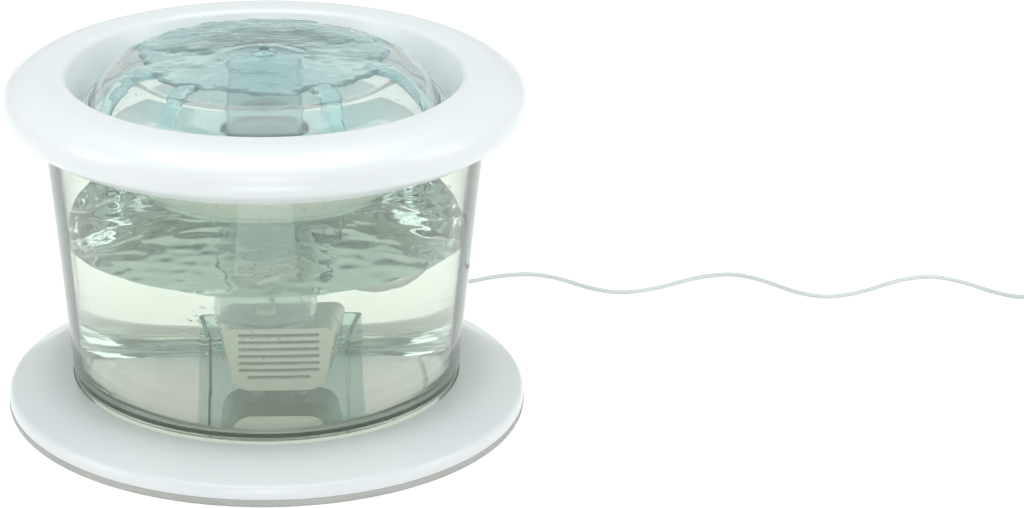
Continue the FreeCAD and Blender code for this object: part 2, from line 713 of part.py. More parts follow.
def make_flow_dial():
    """Shutter cap that turns on the intake collar, with a half window and a finger tab."""
    body = pump_body("flow_dial")
    foot = "(cover_depth + dial_gap)"
    rim = round_sketch(body, "rim_outline", foot, "dial_radius")
    padded(body, "cap", rim, "intake_collar_height + dial_plate")
    bore = round_sketch(body, "bore_outline", "cover_depth + intake_collar_height + 2*dial_gap",
                        "intake_collar_radius + dial_gap")
    pocketed(body, "bore", bore, "intake_collar_height + 2*dial_gap")
    head = "cover_depth + intake_collar_height + dial_plate + 1"
    window = sketch_on(body, "window_outline", "XY_Plane", head)
    outline(window, [
        ("-dial_window", "1", "0.8"), ("dial_window", "1", "0.8"),
        ("dial_window/1.5", "dial_window", "0.8"), ("-dial_window/1.5", "dial_window", "0.8"),
    ])
    pocketed(body, "window", window, "dial_plate + 2")
    tab = sketch_on(body, "tab_outline", "XY_Plane", foot)
    outline(tab, [
        ("-1.2", "-dial_radius - dial_tab"), ("1.2", "-dial_radius - dial_tab"),
        ("1.2", "-dial_radius + 1"), ("-1.2", "-dial_radius + 1"),
    ])
    padded(body, "tab", tab, "intake_collar_height + dial_plate")


def make_pump_grille():
    body = pump_body("pump_grille")
    cap = pump_outline(body, "cap_outline", "grille_gap", "grille_gap")
    padded(body, "cap", cap, "grille_depth - grille_gap")
    hollow = pump_outline(body, "hollow_outline", "grille_depth - pump_wall", "(grille_gap + pump_wall)")
    pocketed(body, "hollow", hollow, "grille_depth")
    slot = sketch_on(body, "slot_outline", "XY_Plane", "grille_depth + 1")
    for row in range(int(value("slot_count"))):
        low = "slot_lowest + %d*slot_pitch" % row
        half = "(slot_length/2 - %s)" % ("4" if row == 0 else "0")
        outline(slot, [
            ("-" + half, low, "0.45*slot_height"), (half, low, "0.45*slot_height"),
            (half, low + " + slot_height", "0.45*slot_height"),
            ("-" + half, low + " + slot_height", "0.45*slot_height"),
        ])
    pocketed(body, "slots", slot, "pump_wall + 2")
    notch = sketch_on(body, "notch_outline", "XY_Plane", "shaft_back + nozzle_radius + 2*grille_gap")
    reach = "(nozzle_radius + 2*grille_gap)"
    outline(notch, [
        ("-shaft_across - %s" % reach, "0"), ("-shaft_across + %s" % reach, "0"),
        ("-shaft_across + %s" % reach, "pump_up + 1"), ("-shaft_across - %s" % reach, "pump_up + 1"),
    ])
    pocketed(body, "nozzle_notch", notch, "shaft_back + nozzle_radius + 2*grille_gap")


def make_grille_foam():
    body = pump_body("grille_foam")
    foot = "grille_depth - pump_wall - foam_pad_thickness - 0.1"
    pad_outline = pump_outline(body, "pad_outline", foot, "(grille_gap + pump_wall + 0.1)")
    padded(body, "pad", pad_outline, "foam_pad_thickness")


def make_impeller():
    body = pump_body("impeller")
    magnet = round_sketch(body, "magnet_outline", "-magnet_length - 1", "magnet_radius")
    padded(body, "magnet", magnet, "magnet_length")
    hub = round_sketch(body, "hub_outline", "-1.5", "hub_radius")
    padded(body, "hub", hub, "blade_height + 2.3")
    blade = sketch_on(body, "blade_outline", "XY_Plane", "0.8")
    outline(blade, [
        ("hub_radius - 1", "-blade_width/2"), (BLADE_REACH, "-blade_width/2"),
        (BLADE_REACH, "blade_width/2"), ("hub_radius - 1", "blade_width/2"),
    ])
    repeated(body, "blades", padded(body, "blade", blade, "blade_height"), "blade_count")
    bore = round_sketch(body, "bore_outline", "blade_height + 1", "shaft_radius + shaft_gap")
    pocketed(body, "bore", bore, "magnet_length + blade_height + 3")


def pump_rod(label, foot, length, radius, bore=None):
    body = pump_body(label)
    sketch = round_sketch(body, "rod_outline", foot, radius)
    if bore:
        circle(sketch, "0", "0", bore)
    padded(body, "rod", sketch, length)


def make_shaft_and_bushes():
    head = "(chamber_depth + bush_length)"
    pump_rod("impeller_shaft", "-well_depth + well_wall", head + " + well_depth - well_wall", "shaft_radius")
    bore = "shaft_radius + 0.01"
    pump_rod("shaft_bush_front", "chamber_depth + 0.05", "bush_length - 0.05", "bush_radius", bore)
    rear_length = "(well_depth - well_wall - magnet_length - 1 - 0.1)"
    pump_rod("shaft_bush_rear", "-well_depth + well_wall", rear_length, "rear_bush_radius", bore)


def make_stator():
    """U-shaped stack whose legs stand beside the rotor well, and the winding on its foot."""
    body = pump_body("stator_core")
    middle = "-(pump_wall + 3 + core_depth)"
    sketch = sketch_on(body, "core_outline", "XY_Plane", middle)
    inner = "(core_reach - core_width)"
    outline(sketch, [
        ("-core_reach", "-core_foot"), ("core_reach", "-core_foot"), ("core_reach", "core_head"),
        (inner, "core_head"), (inner, "-core_foot + core_width"), ("-" + inner, "-core_foot + core_width"),
        ("-" + inner, "core_head"), ("-core_reach", "core_head"),
    ])
    padded(body, "stack", sketch, "core_depth")
    winding = new_body("stator_coil")
    stand_at(winding, "shaft_across", "shaft_back", "shaft_level", 90)
    around = sketch_on(winding, "winding_outline", "YZ_Plane", "-coil_half_length")
    depth_middle = "(%s + core_depth/2)" % middle
    foot_middle = "(-core_foot + core_width/2)"
    for grow, corner in (("part_gap", None), ("(coil_radius - core_width/2 + part_gap)", "1.2")):
        half_up = "(core_width/2 + %s)" % grow
        half_deep = "(core_depth/2 + %s)" % grow
        spots = [("-", "-"), ("", "-"), ("", ""), ("-", "")]
        corners = []
        for up_sign, deep_sign in spots:
            up = "%s %s %s" % (foot_middle, up_sign or "+", half_up)
            deep = "%s %s %s" % (depth_middle, deep_sign or "+", half_deep)
            corners.append((up, deep, corner) if corner else (up, deep))
        outline(around, corners)
    padded(winding, "winding", around, "2*coil_half_length")


def make_suction_cups():
    """Four cups as separate solids that share one node."""
    height = value("shaft_level - pump_down - tank_floor_top")
    level = value("tank_floor_top")
    lip = value("cup_radius")
    stub = value("cup_stub_radius")
    cups = []
    for side in (-1, 1):
        for row in ("cup_front", "cup_rear"):
            across = value("shaft_across") + side * value("cup_spread")
            spot = Vector(across, value("shaft_back") - value(row), level)
            flare = Part.makeCone(lip, stub, height * 0.6, spot)
            hollow = Part.makeCone(lip - 1.0, 0.2, height * 0.45, spot)
            neck = Part.makeCylinder(stub, height * 0.4, spot + Vector(0, 0, height * 0.6))
            cups.append(flare.cut(hollow).fuse(neck).removeSplitter())
    shape_piece("suction_cups", Part.makeCompound(cups))


def make_pump_cradle():
    body = new_body("pump_cradle")
    stand_at(body, "shaft_across", "shaft_back", "0", 0)
    front = "-cradle_front"
    back = "-cradle_back"
    wall = sketch_on(body, "wall_outline", "XY_Plane", "tank_floor_top")
    outline(wall, [
        ("-cradle_half", front), ("-cradle_half + cradle_wall", front),
        ("-cradle_half + cradle_wall", back + " - cradle_wall", "4"),
        ("cradle_half - cradle_wall", back + " - cradle_wall", "4"), ("cradle_half - cradle_wall", front),
        ("cradle_half", front), ("cradle_half", back, "4 + cradle_wall"),
        ("-cradle_half", back, "4 + cradle_wall"),
    ])
    padded(body, "wall", wall, "cradle_top - tank_floor_top")
    slot = sketch_on(body, "slot_outline", "XZ_Plane", "cradle_back - 1")
    outline(slot, [
        ("-cradle_slot/2", "shaft_level - gland_drop - cradle_slot/2"),
        ("cradle_slot/2", "shaft_level - gland_drop - cradle_slot/2"),
        ("cradle_slot/2", "cradle_top + 1"), ("-cradle_slot/2", "cradle_top + 1"),
    ])
    pocketed(body, "cord_slot", slot, "cradle_wall + 2").Reversed = True


# Cord

def by_wall(level, gap):
    """Distance from the axis of a cord that runs inside the tank, off its wall by a gap."""
    return "%s - tank_wall - cord_radius - %s" % (tank_outside(level), gap)


# Chosen points of the cord: inside the tank, then free on the floor
HELD_ROUTE = [
    ("shaft_across", GLAND_TIP, GLAND_LEVEL), ("shaft_across", GLAND_TIP + " + 14", GLAND_LEVEL),
    (5.0, 76.0, 30.0), (3.0, by_wall("38", "10"), 38.0), (1.0, by_wall("64", "1.6"), 64.0),
    (0.0, by_wall("100", "0.9"), 100.0), (0.0, by_wall("174", "0.9"), 174.0),
    (0.0, by_wall("(tank_rim_level + 1)", "1.6"), "tank_rim_level + 1"),
    (0.0, "tank_rim_radius + 2.4", "tank_rim_level + 1"),
    (0.0, "tank_rim_radius + 2.4", "tank_rim_level - 11"),
    (0.0, "tank_rim_radius + 2.6", "tank_rim_level - 22"),
]
FREE_ROUTE = [
    (0.0, "tank_rim_radius + 2.6", "tank_rim_level - 22"),
    (0.0, "tank_rim_radius + 2.96", "tank_rim_level - 42"), (1.0, 133.0, 118.0), (5.0, 142.0, 84.0),
    (10.0, "base_radius + 4.3", 52.0), (16.0, "base_radius + 14.3", 26.0), (28.0, "base_radius + 21.3", 1.4),
    (56.0, "base_radius + 22.8", 1.4), (88.0, 167.0, 1.4), (118.0, 165.0, 1.4), (153.0, 182.7, 1.4),
    (179.0, 182.5, 1.4), (211.5, 150.8, 1.4), (238.0, 151.2, 1.4), (281.0, 179.8, 1.4), (307.0, 179.5, 1.4),
    (338.0, 141.3, 1.4), (365.5, 141.4, 1.4), (407.0, 172.9, 1.4), (433.5, 172.7, 1.4), (463.0, 138.4, 1.4),
    (486.0, 137.4, 1.4), (507.4, 137.4, 1.4),
]


def route_point(place):
    return Vector(*(value(str(distance)) for distance in place))


def shape_piece(label, shape):
    piece = doc.addObject("Part::Feature", label)
    piece.Shape = shape
    piece.Placement = Placement()
    pieces.append(piece)


def rounded_path(points):
    """Straight runs joined by the largest tangent arcs that they allow."""
    edges = []
    radii = []
    here = points[0]
    for before, corner, after in zip(points, points[1:], points[2:]):
        run_in, run_out = corner - before, after - corner
        turn = run_in.getAngle(run_out)
        reach = 0.45 * min(run_in.Length, run_out.Length)
        radius = reach / math.tan(turn / 2)
        start = corner - run_in.normalize() * reach
        end = corner + run_out.normalize() * reach
        inward = (start + end - corner * 2).normalize()
        middle = corner + inward * (radius / math.cos(turn / 2) - radius)
        edges.append(Part.LineSegment(here, start).toShape())
        edges.append(Part.Arc(start, middle, end).toShape())
        radii.append(radius)
        here = end
    edges.append(Part.LineSegment(here, points[-1]).toShape())
    return edges, radii


def tube_along(label, edges):
    path = Part.Wire(edges)
    radius = value("cord_radius")
    start = edges[0].Vertexes[0].Point
    ring = Part.Wire([Part.Circle(start, edges[0].tangentAt(edges[0].FirstParameter), radius).toShape()])
    tube = path.makePipeShell([ring], True, False)
    expected = math.pi * radius ** 2 * path.Length
    print(label, "length %.1f mm, volume over section by length %.4f" % (path.Length, tube.Volume / expected))
    shape_piece(label, tube)


def make_cord_run(label, route):
    edges, radii = rounded_path([route_point(place) for place in route])
    print(label, "bend radii", " ".join("%.0f" % radius for radius in radii))
    tube_along(label, edges)


def coil_place(turn):
    """Centre of the coil's cord after a number of turns: piled layers that spiral in and out."""
    start = route_point(FREE_ROUTE[-1]) + Vector(2 * value("cord_radius"), 0, 0)
    per_layer = value("turns_per_layer")
    pitch = value("coil_pitch")
    outer = value("coil_middle") + pitch * per_layer / 2
    layer, through = divmod(turn, per_layer)
    inward = int(layer) % 2 == 0
    radius = outer - pitch * (through if inward else per_layer - through)
    level = start.z
    for climb in range(1, 4):
        share = min(max((turn - climb * per_layer + 0.25) / 0.5, 0.0), 1.0)
        level += pitch * share * share * (3 - 2 * share)
    angle = 2 * math.pi * turn - math.pi / 2
    centre = start + Vector(0, outer, 0)
    return Vector(centre.x + radius * math.cos(angle), centre.y + radius * math.sin(angle), level)


def heading(turn, last):
    small = 0.002
    return (coil_place(min(turn + small, last)) - coil_place(max(turn - small, 0.0))).normalize()


def join_by_arcs(start, way_in, end, way_out):
    """Two tangent arcs from one place and heading to another."""
    across = end - start
    both = way_in + way_out
    square = both.dot(both) - 4
    slope = -2 * across.dot(both)
    reach = (-slope - math.sqrt(slope ** 2 - 4 * square * across.dot(across))) / (2 * square)
    first, second = start + way_in * reach, end - way_out * reach
    joint = (first + second) * 0.5
    edges = []
    for head, corner, tail in ((start, first, joint), (joint, second, end)):
        chord = tail - head
        rise = (corner - (head + tail) * 0.5)
        half = math.atan2(rise.Length, chord.Length / 2)
        middle = (head + tail) * 0.5 + rise.normalize() * (chord.Length / 2 * math.tan(half / 2))
        edges.append(Part.Arc(head, middle, tail).toShape())
    return edges


def make_cord_coil():
    turns = value("coil_turns")
    stops = [quarter / 4 for quarter in range(int(turns * 4) + 1)]
    spots = [coil_place(stop) for stop in stops]
    ways = [heading(stop, turns) for stop in stops]
    lead = 2 * value("cord_radius")
    edges = [Part.LineSegment(spots[0] - ways[0] * lead, spots[0]).toShape()]
    for here, way_in, there, way_out in zip(spots, ways, spots[1:], ways[1:]):
        edges += join_by_arcs(here, way_in, there, way_out)
    edges.append(Part.LineSegment(spots[-1], spots[-1] + ways[-1] * lead).toShape())
    tube_along("cord_coil", edges)
    print("coil's least gap to itself %.2f mm" % least_gap(turns))
    return spots[-1] + ways[-1] * lead, ways[-1]


def least_gap(turns):
    steps = [coil_place(step / 48) for step in range(int(turns * 48) + 1)]
    nearest = min((steps[i] - steps[j]).Length for i in range(len(steps)) for j in range(i + 24, len(steps)))
    return nearest - 2 * value("cord_radius")


# Adapter

def make_adapter(cord_end, way):
    """Plug-in adapter on its back, with the cord's sleeve on its end and its pins upwards."""
    root = cord_end + way * value("relief_length")
    width, length, height = value("adapter_width"), value("adapter_length"), value("adapter_height")
    case = Part.makeBox(width, length, height, Vector(root.x - width / 2, root.y - length, 0))
    case = case.makeFillet(value("adapter_round"), case.Edges)
    shape_piece("adapter_body", case)
    relief = Part.makeCone(value("relief_tip_radius"), value("relief_root_radius"), value("relief_length"),
                           cord_end, way)
    shape_piece("adapter_relief", relief.cut(case))
    pins = []
    for side in (-1, 1):
        corner = Vector(root.x + side * value("pin_spacing") / 2 - value("pin_thickness") / 2,
                        root.y - length / 2 - value("pin_width") / 2, height)
        pins.append(Part.makeBox(value("pin_thickness"), value("pin_width"), value("pin_length"), corner))
    shape_piece("adapter_pins", Part.makeCompound(pins))


# The whole fountain

fill_sheet()
make_base_ring()
make_anti_slip_ring()
make_tank()
make_rim_grommet()
make_drinking_ring()
make_filter_bowl()
make_return_spout()
make_foam_filter()
make_carbon_cartridge()
make_water_dome()
make_stem_tube()
make_nozzle_seal()
make_pump_housing()
make_pump_back_cover()
make_cord_gland()
make_volute_cover()
make_flow_dial()
make_pump_grille()
make_grille_foam()
make_impeller()
make_shaft_and_bushes()
make_stator()
make_suction_cups()
make_pump_cradle()
make_cord_run("pump_cord", HELD_ROUTE)
make_cord_run("cord_lead", FREE_ROUTE)
coil_end, coil_way = make_cord_coil()
make_adapter(coil_end, coil_way)
doc.recompute()

failed = [item.Name for item in doc.Objects if "Invalid" in item.State or "Error" in item.State]
if failed:
    raise RuntimeError("objects that failed: " + ", ".join(failed))
os.makedirs("parts", exist_ok=True)
for piece in pieces:
    if piece.Shape.isNull() or not piece.Shape.isValid():
        raise RuntimeError("bad shape: " + piece.Label)
    print(piece.Label, len(piece.Shape.Solids), "%.0f" % piece.Shape.Volume)
for piece in pieces:
    piece.Shape.exportStep("parts/%s.step" % piece.Label)
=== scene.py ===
import math

import bmesh
import bpy
from mathutils import Euler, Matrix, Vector, noise


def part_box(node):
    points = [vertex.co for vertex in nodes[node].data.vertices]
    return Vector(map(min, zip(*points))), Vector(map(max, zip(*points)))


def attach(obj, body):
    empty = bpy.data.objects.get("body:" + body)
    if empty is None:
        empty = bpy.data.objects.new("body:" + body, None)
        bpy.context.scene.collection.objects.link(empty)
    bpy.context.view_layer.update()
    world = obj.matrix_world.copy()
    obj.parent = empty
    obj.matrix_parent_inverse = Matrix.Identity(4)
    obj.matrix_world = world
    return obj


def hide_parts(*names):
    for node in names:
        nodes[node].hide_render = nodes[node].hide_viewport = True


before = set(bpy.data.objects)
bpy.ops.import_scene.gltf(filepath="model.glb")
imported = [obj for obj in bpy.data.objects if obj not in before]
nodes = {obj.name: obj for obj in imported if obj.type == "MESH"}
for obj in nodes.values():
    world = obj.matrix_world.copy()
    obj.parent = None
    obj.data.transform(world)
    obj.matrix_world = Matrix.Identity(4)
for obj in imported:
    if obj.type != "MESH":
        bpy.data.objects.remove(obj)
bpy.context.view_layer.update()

MM = 0.001
TURN = 2 * math.pi
ROUND_SIDES = 224  # sides of a turned piece
ON_AXIS = 1e-4  # millimetres: nearer points are taken to lie on the axis
SAME_SPOT = 1e-7  # metres: nearer vertices are merged
MOST_OF_EDGE = 0.49  # share of an edge that one rounding may take
CREASE = 40  # degrees: edges that turn more stay sharp

# Radii and levels of the round pieces, in millimetres, as the frame has them
BASE_RADIUS, BASE_TOP, GRIP_HEIGHT = 149.7, 20.3, 4.4
TANK_FOOT, TANK_FOOT_LEVEL, TANK_RIM, TANK_RIM_LEVEL, TANK_WALL = 110.5, 8.0, 127.3, 190.0, 3.0
FLOOR_TOP, FLOOR_CORNER = 18.0, 20.0
OVAL_RADIUS, OVAL_LEVEL, OVAL_WIDE, OVAL_TALL, RING_WALL = 124.15, 185.2, 24.0, 15.7, 2.4
LEDGE_LEVEL, LEDGE_IN, LEDGE_OUT = 177.5, 98.0, 104.4
FLANGE_FOOT, FLANGE_HEAD = 181.6, 183.4
STEM_RADIUS, STEM_FOOT, STEM_TOP = 21.5, 63.0, 202.0
WATER_LEVEL = 110.0
OVAL_SHARE = math.tan(math.radians(22.5))  # where an arc's 45 degree tangent leaves its straight one


def tank_outside(level):
    """Radius of the tank's outer wall."""
    return TANK_FOOT + (level - TANK_FOOT_LEVEL) * (TANK_RIM - TANK_FOOT) / (TANK_RIM_LEVEL - TANK_FOOT_LEVEL)


# Mesh helpers

def shade(mesh, crease=CREASE):
    mesh.shade_smooth()
    mesh.set_sharp_from_angle(angle=math.radians(crease))


def link_object(name, data):
    thing = bpy.data.objects.new(name, data)
    bpy.context.scene.collection.objects.link(thing)
    return thing


def mesh_object(name, verts, faces, smooth=True, crease=CREASE):
    """Piece from points in millimetres."""
    mesh = bpy.data.meshes.new(name)
    mesh.from_pydata([Vector(v) * MM for v in verts], [], faces)
    mesh.validate()
    if smooth:
        shade(mesh, crease)
    return link_object(name, mesh)


def point_out(piece):
    """Merges vertices that fall together and turns every face outward."""
    shape = bmesh.new()
    shape.from_mesh(piece.data)
    bmesh.ops.remove_doubles(shape, verts=shape.verts, dist=SAME_SPOT)
    bmesh.ops.recalc_face_normals(shape, faces=shape.faces)
    shape.to_mesh(piece.data)
    shape.free()
    return piece


def rounded(corners, steps=7):
    """Points of a closed outline whose corners (r, z) or (r, z, rounding) are turned by arcs."""
    points = []
    count = len(corners)
    for i, corner in enumerate(corners):
        spot = Vector(corner[:2])
        before, after = Vector(corners[i - 1][:2]), Vector(corners[(i + 1) % count][:2])
        if len(corner) == 2:
            points.append(spot)
            continue
        back, on = (before - spot).normalized(), (after - spot).normalized()
        half = back.angle(on) / 2
        reach = min(corner[2] / math.tan(half), MOST_OF_EDGE * (before - spot).length,
                    MOST_OF_EDGE * (after - spot).length)
        start, end = spot + back * reach, spot + on * reach
        centre = spot + (back + on).normalized() * (reach / math.cos(half))
        radius = (start - centre).length
        first, last = start - centre, end - centre
        for step in range(steps + 1):
            share = step / steps
            points.append(centre + first.slerp(last, share).normalized() * radius)
    return points


def add_ring(verts, radius, level, sides):
    """Adds a level ring of points, or one point on the axis, and returns a number for each side."""
    if radius < ON_AXIS:
        verts.append((0, 0, level))
        return [len(verts) - 1] * sides
    verts += [(radius * math.cos(TURN * k / sides), radius * math.sin(TURN * k / sides), level)
              for k in range(sides)]
    return list(range(len(verts) - sides, len(verts)))


def join_rings(rings, closed):
    """Faces between neighbouring rings, without corners that fall together."""
    faces = []
    for i in range(len(rings) if closed else len(rings) - 1):
        low, high = rings[i], rings[(i + 1) % len(rings)]
        for k in range(len(low)):
            after = (k + 1) % len(low)
            face = [low[k], low[after], high[after], high[k]]
            face = [v for n, v in enumerate(face) if v not in face[:n]]
            if len(face) > 2:
                faces.append(face)
    return faces


def lathe(name, corners, steps=7, sides=ROUND_SIDES):
    """The outline turned about Z."""
    verts = []
    rings = [add_ring(verts, spot.x, spot.y, sides) for spot in rounded(corners, steps)]
    piece = point_out(mesh_object(name, verts, join_rings(rings, closed=True)))
    shade(piece.data)
    return piece


# Materials

BROAD_BY, FINE_BY = 6, 12  # broad and fine noise of a solid, against its own grain scale
ROUGH_SPREAD, SOLID_BUMP, COAT_ROUGHNESS = 0.15, 0.35, 0.08
SUBSURFACE_RADIUS = (0.004, 0.004, 0.004)
CLOUD_SCALE, CLOUD_SHADE, PASS_LIGHT, CLEAR_ROUGH_RISE, RIPPLE_BUMP = 14.0, 0.985, 0.97, 0.015, 0.6


def new_material(name):
    material = bpy.data.materials.new(name)
    material.use_nodes = True
    tree = material.node_tree
    shader = tree.nodes["Principled BSDF"]
    return material, tree, shader


def add(tree, kind, **settings):
    node = tree.nodes.new(kind)
    for key, setting in settings.items():
        if key in node.inputs.keys():
            node.inputs[key].default_value = setting
        else:
            setattr(node, key, setting)
    return node


def set_inputs(node, settings):
    for key, setting in settings.items():
        node.inputs[key].default_value = setting


def mix_by_ray(tree, plain, special, kinds):
    """The special shader where a ray is of one of the kinds, else the plain one."""
    path = add(tree, "ShaderNodeLightPath")
    fact = path.outputs[kinds[0]]
    for kind in kinds[1:]:
        either = add(tree, "ShaderNodeMath", operation="MAXIMUM")
        tree.links.new(fact, either.inputs[0])
        tree.links.new(path.outputs[kind], either.inputs[1])
        fact = either.outputs["Value"]
    mix = add(tree, "ShaderNodeMixShader")
    tree.links.new(fact, mix.inputs["Fac"])
    tree.links.new(plain, mix.inputs[1])
    tree.links.new(special, mix.inputs[2])
    return mix.outputs["Shader"]


def noise_map(tree, scale):
    place = add(tree, "ShaderNodeTexCoord")
    grain = add(tree, "ShaderNodeTexNoise", Scale=scale, Detail=4.0, Roughness=0.55)
    tree.links.new(place.outputs["Object"], grain.inputs["Vector"])
    return grain.outputs["Fac"]


def vary(tree, shader, grain, low, high, start=0.35, end=0.65):
    ramp = add(tree, "ShaderNodeValToRGB")
    first, last = ramp.color_ramp.elements
    first.position, first.color = start, (*low, 1)
    last.position, last.color = end, (*high, 1)
    tree.links.new(grain, ramp.inputs["Fac"])
    tree.links.new(ramp.outputs["Color"], shader.inputs["Base Color"])


def roughen(tree, shader, grain, low, high):
    spread = add(tree, "ShaderNodeMapRange")
    set_inputs(spread, {"To Min": low, "To Max": high})
    tree.links.new(grain, spread.inputs["Value"])
    tree.links.new(spread.outputs["Result"], shader.inputs["Roughness"])


def bump(tree, shader, grain, height, strength):
    relief = add(tree, "ShaderNodeBump", Strength=strength, Distance=height)
    tree.links.new(grain, relief.inputs["Height"])
    tree.links.new(relief.outputs["Normal"], shader.inputs["Normal"])


def solid(name, low, high, rough, grain_scale=60.0, relief=0.00002, coat=0.0, subsurface=0.0, metal=0.0):
    material, tree, shader = new_material(name)
    broad = noise_map(tree, grain_scale / BROAD_BY)
    vary(tree, shader, broad, low, high)
    roughen(tree, shader, broad, rough * (1 - ROUGH_SPREAD), rough * (1 + ROUGH_SPREAD))
    bump(tree, shader, noise_map(tree, grain_scale * FINE_BY), relief, SOLID_BUMP)
    set_inputs(shader, {"Coat Weight": coat, "Coat Roughness": COAT_ROUGHNESS, "Metallic": metal,
                        "Subsurface Weight": subsurface, "Subsurface Radius": SUBSURFACE_RADIUS})
    return material


def clear(name, colour, ior, rough, ripple_scale=30.0, ripple=0.0, through_share=1.0):
    """See-through stuff that lets the lamps' light pass, tinted, to what is inside."""
    material, tree, shader = new_material(name)
    grain = noise_map(tree, ripple_scale)
    vary(tree, shader, noise_map(tree, CLOUD_SCALE), [c * CLOUD_SHADE for c in colour], colour)
    set_inputs(shader, {"Transmission Weight": through_share, "IOR": ior})
    roughen(tree, shader, grain, rough, rough + CLEAR_ROUGH_RISE)
    if ripple:
        bump(tree, shader, grain, ripple, RIPPLE_BUMP)
    through = add(tree, "ShaderNodeBsdfTransparent", Color=(*[c * PASS_LIGHT for c in colour], 1))
    mixed = mix_by_ray(tree, shader.outputs["BSDF"], through.outputs["BSDF"],
                       ["Is Shadow Ray", "Is Diffuse Ray"])
    tree.links.new(mixed, tree.nodes["Material Output"].inputs["Surface"])
    return material


def foam_material(name, low, high):
    material, tree, shader = new_material(name)
    cells = add(tree, "ShaderNodeTexVoronoi", Scale=620.0)
    place = add(tree, "ShaderNodeTexCoord")
    tree.links.new(place.outputs["Object"], cells.inputs["Vector"])
    vary(tree, shader, cells.outputs["Distance"], low, high, start=0.0, end=1.0)
    bump(tree, shader, cells.outputs["Distance"], height=0.0006, strength=0.8)
    set_inputs(shader, {"Roughness": 0.9, "Sheen Weight": 0.2})
    return material


WHITE = solid("white_plastic", (0.90, 0.908, 0.92), (0.92, 0.926, 0.935), 0.3, coat=0.35, subsurface=0.15)
RUBBER = solid("grey_rubber", (0.50, 0.49, 0.46), (0.56, 0.55, 0.52), 0.65, 90.0, 0.0001)
CREAM = solid("cream_plastic", (0.95, 0.94, 0.88), (0.97, 0.96, 0.91), 0.4, coat=0.15, subsurface=0.2)
DARK = solid("dark_plastic", (0.10, 0.105, 0.11), (0.14, 0.145, 0.15), 0.45)
STEEL = solid("ground_steel", (0.62, 0.62, 0.64), (0.72, 0.72, 0.74), 0.25, metal=1.0)
COPPER = solid("winding_wire", (0.55, 0.22, 0.10), (0.70, 0.32, 0.15), 0.3, 200.0, metal=1.0)
IRON = solid("stacked_iron", (0.25, 0.26, 0.28), (0.33, 0.34, 0.36), 0.5, metal=1.0)
SHEATH = solid("cord_sheath", (0.74, 0.755, 0.765), (0.80, 0.81, 0.82), 0.45, 120.0, coat=0.1)
ADAPTER = solid("adapter_plastic", (0.80, 0.81, 0.82), (0.84, 0.85, 0.86), 0.5, 300.0, 0.00008)
PINS = solid("plated_pins", (0.72, 0.70, 0.62), (0.80, 0.78, 0.70), 0.2, metal=1.0)
SILICONE = solid("pale_silicone", (0.70, 0.72, 0.71), (0.76, 0.78, 0.77), 0.5, subsurface=0.4)
TANK = clear("tank_plastic", (0.905, 0.935, 0.875), 1.36, 0.0, through_share=0.93)
CLEAR = clear("clear_plastic", (0.95, 0.97, 0.965), 1.42, 0.01, through_share=0.97)
# Same clear plastic, tinted darker teal: painted shade of the shadow the pump casts toward the front. The low
# IOR is that of plastic against water.
SUNK_PAINTED_SHADE = clear("clear_plastic_in_water_painted_shade", (0.66, 0.82, 0.81), 1.08, 0.02, through_share=0.92)
STEM = clear("stem_plastic", (0.90, 0.945, 0.95), 1.25, 0.05, through_share=0.8)
FOAM = foam_material("filter_foam", (0.86, 0.84, 0.77), (0.95, 0.94, 0.89))
DARK_FOAM = foam_material("pump_foam", (0.30, 0.31, 0.31), (0.50, 0.51, 0.51))
POUCH = foam_material("filter_pouch", (0.84, 0.83, 0.79), (0.93, 0.92, 0.90))
WATER = clear("tank_water", (0.955, 0.97, 0.94), 1.33, 0.0)
# Darker teal than the water body, on the water's top faces only: painted reflection of the studio's darker
# surfaces in the ripples.
WATER_TOP_PAINTED_REFLECTION = clear("tank_water_top_painted_reflection", (0.56, 0.80, 0.78), 1.33, 0.0, 70.0, 0.0004, through_share=0.93)
# The teal tint, stronger than that of the deep tank water, is painted reflection of the studio's darker
# surfaces in the running water's ripples.
DOME_WATER_PAINTED_REFLECTION = clear("running_water_painted_reflection", (0.80, 0.93, 0.93), 1.22, 0.0, 120.0, 0.0003, through_share=0.88)


def dress(piece, material):
    piece.data.materials.clear()
    piece.data.materials.append(material)
    return piece


CAD_FINISH = {
    WHITE: ["base_ring", "drinking_ring"],
    RUBBER: ["anti_slip_ring", "rim_grommet", "nozzle_seal"],
    CREAM: ["pump_housing", "pump_back_cover", "volute_cover", "pump_grille"],
    DARK: ["flow_dial", "impeller"],
    STEEL: ["impeller_shaft"],
    SILICONE: ["shaft_bush_front", "shaft_bush_rear", "suction_cups"],
    COPPER: ["stator_coil"],
    IRON: ["stator_core"],
    CLEAR: ["filter_bowl", "return_spout", "water_dome"],
    # The cradle wears the darker teal tint, which is painted shade.
    SUNK_PAINTED_SHADE: ["pump_cradle"],
    STEM: ["stem_tube"],
    TANK: ["tank"],
    SHEATH: ["cord_gland", "pump_cord", "cord_lead", "cord_coil", "adapter_relief"],
    ADAPTER: ["adapter_body"],
    PINS: ["adapter_pins"],
    FOAM: ["foam_filter"],
    DARK_FOAM: ["grille_foam"],
    POUCH: ["carbon_cartridge"],
}
for finish, names in CAD_FINISH.items():
    for node_name in names:
        dress(nodes[node_name], finish)


# Camera at the photograph's angle

PHOTO_WIDE, PHOTO_TALL = 1024, 508
FOCAL_PIXELS = 3246.5
SENSOR = 36.0
AXIS_ACROSS, AXIS_DOWN = 265.44, 235.77
CAMERA_RISE, CAMERA_ROLL = math.radians(21.284), math.radians(0.434)
CAMERA_REACH, AIM_LEVEL = 1.864, 0.100


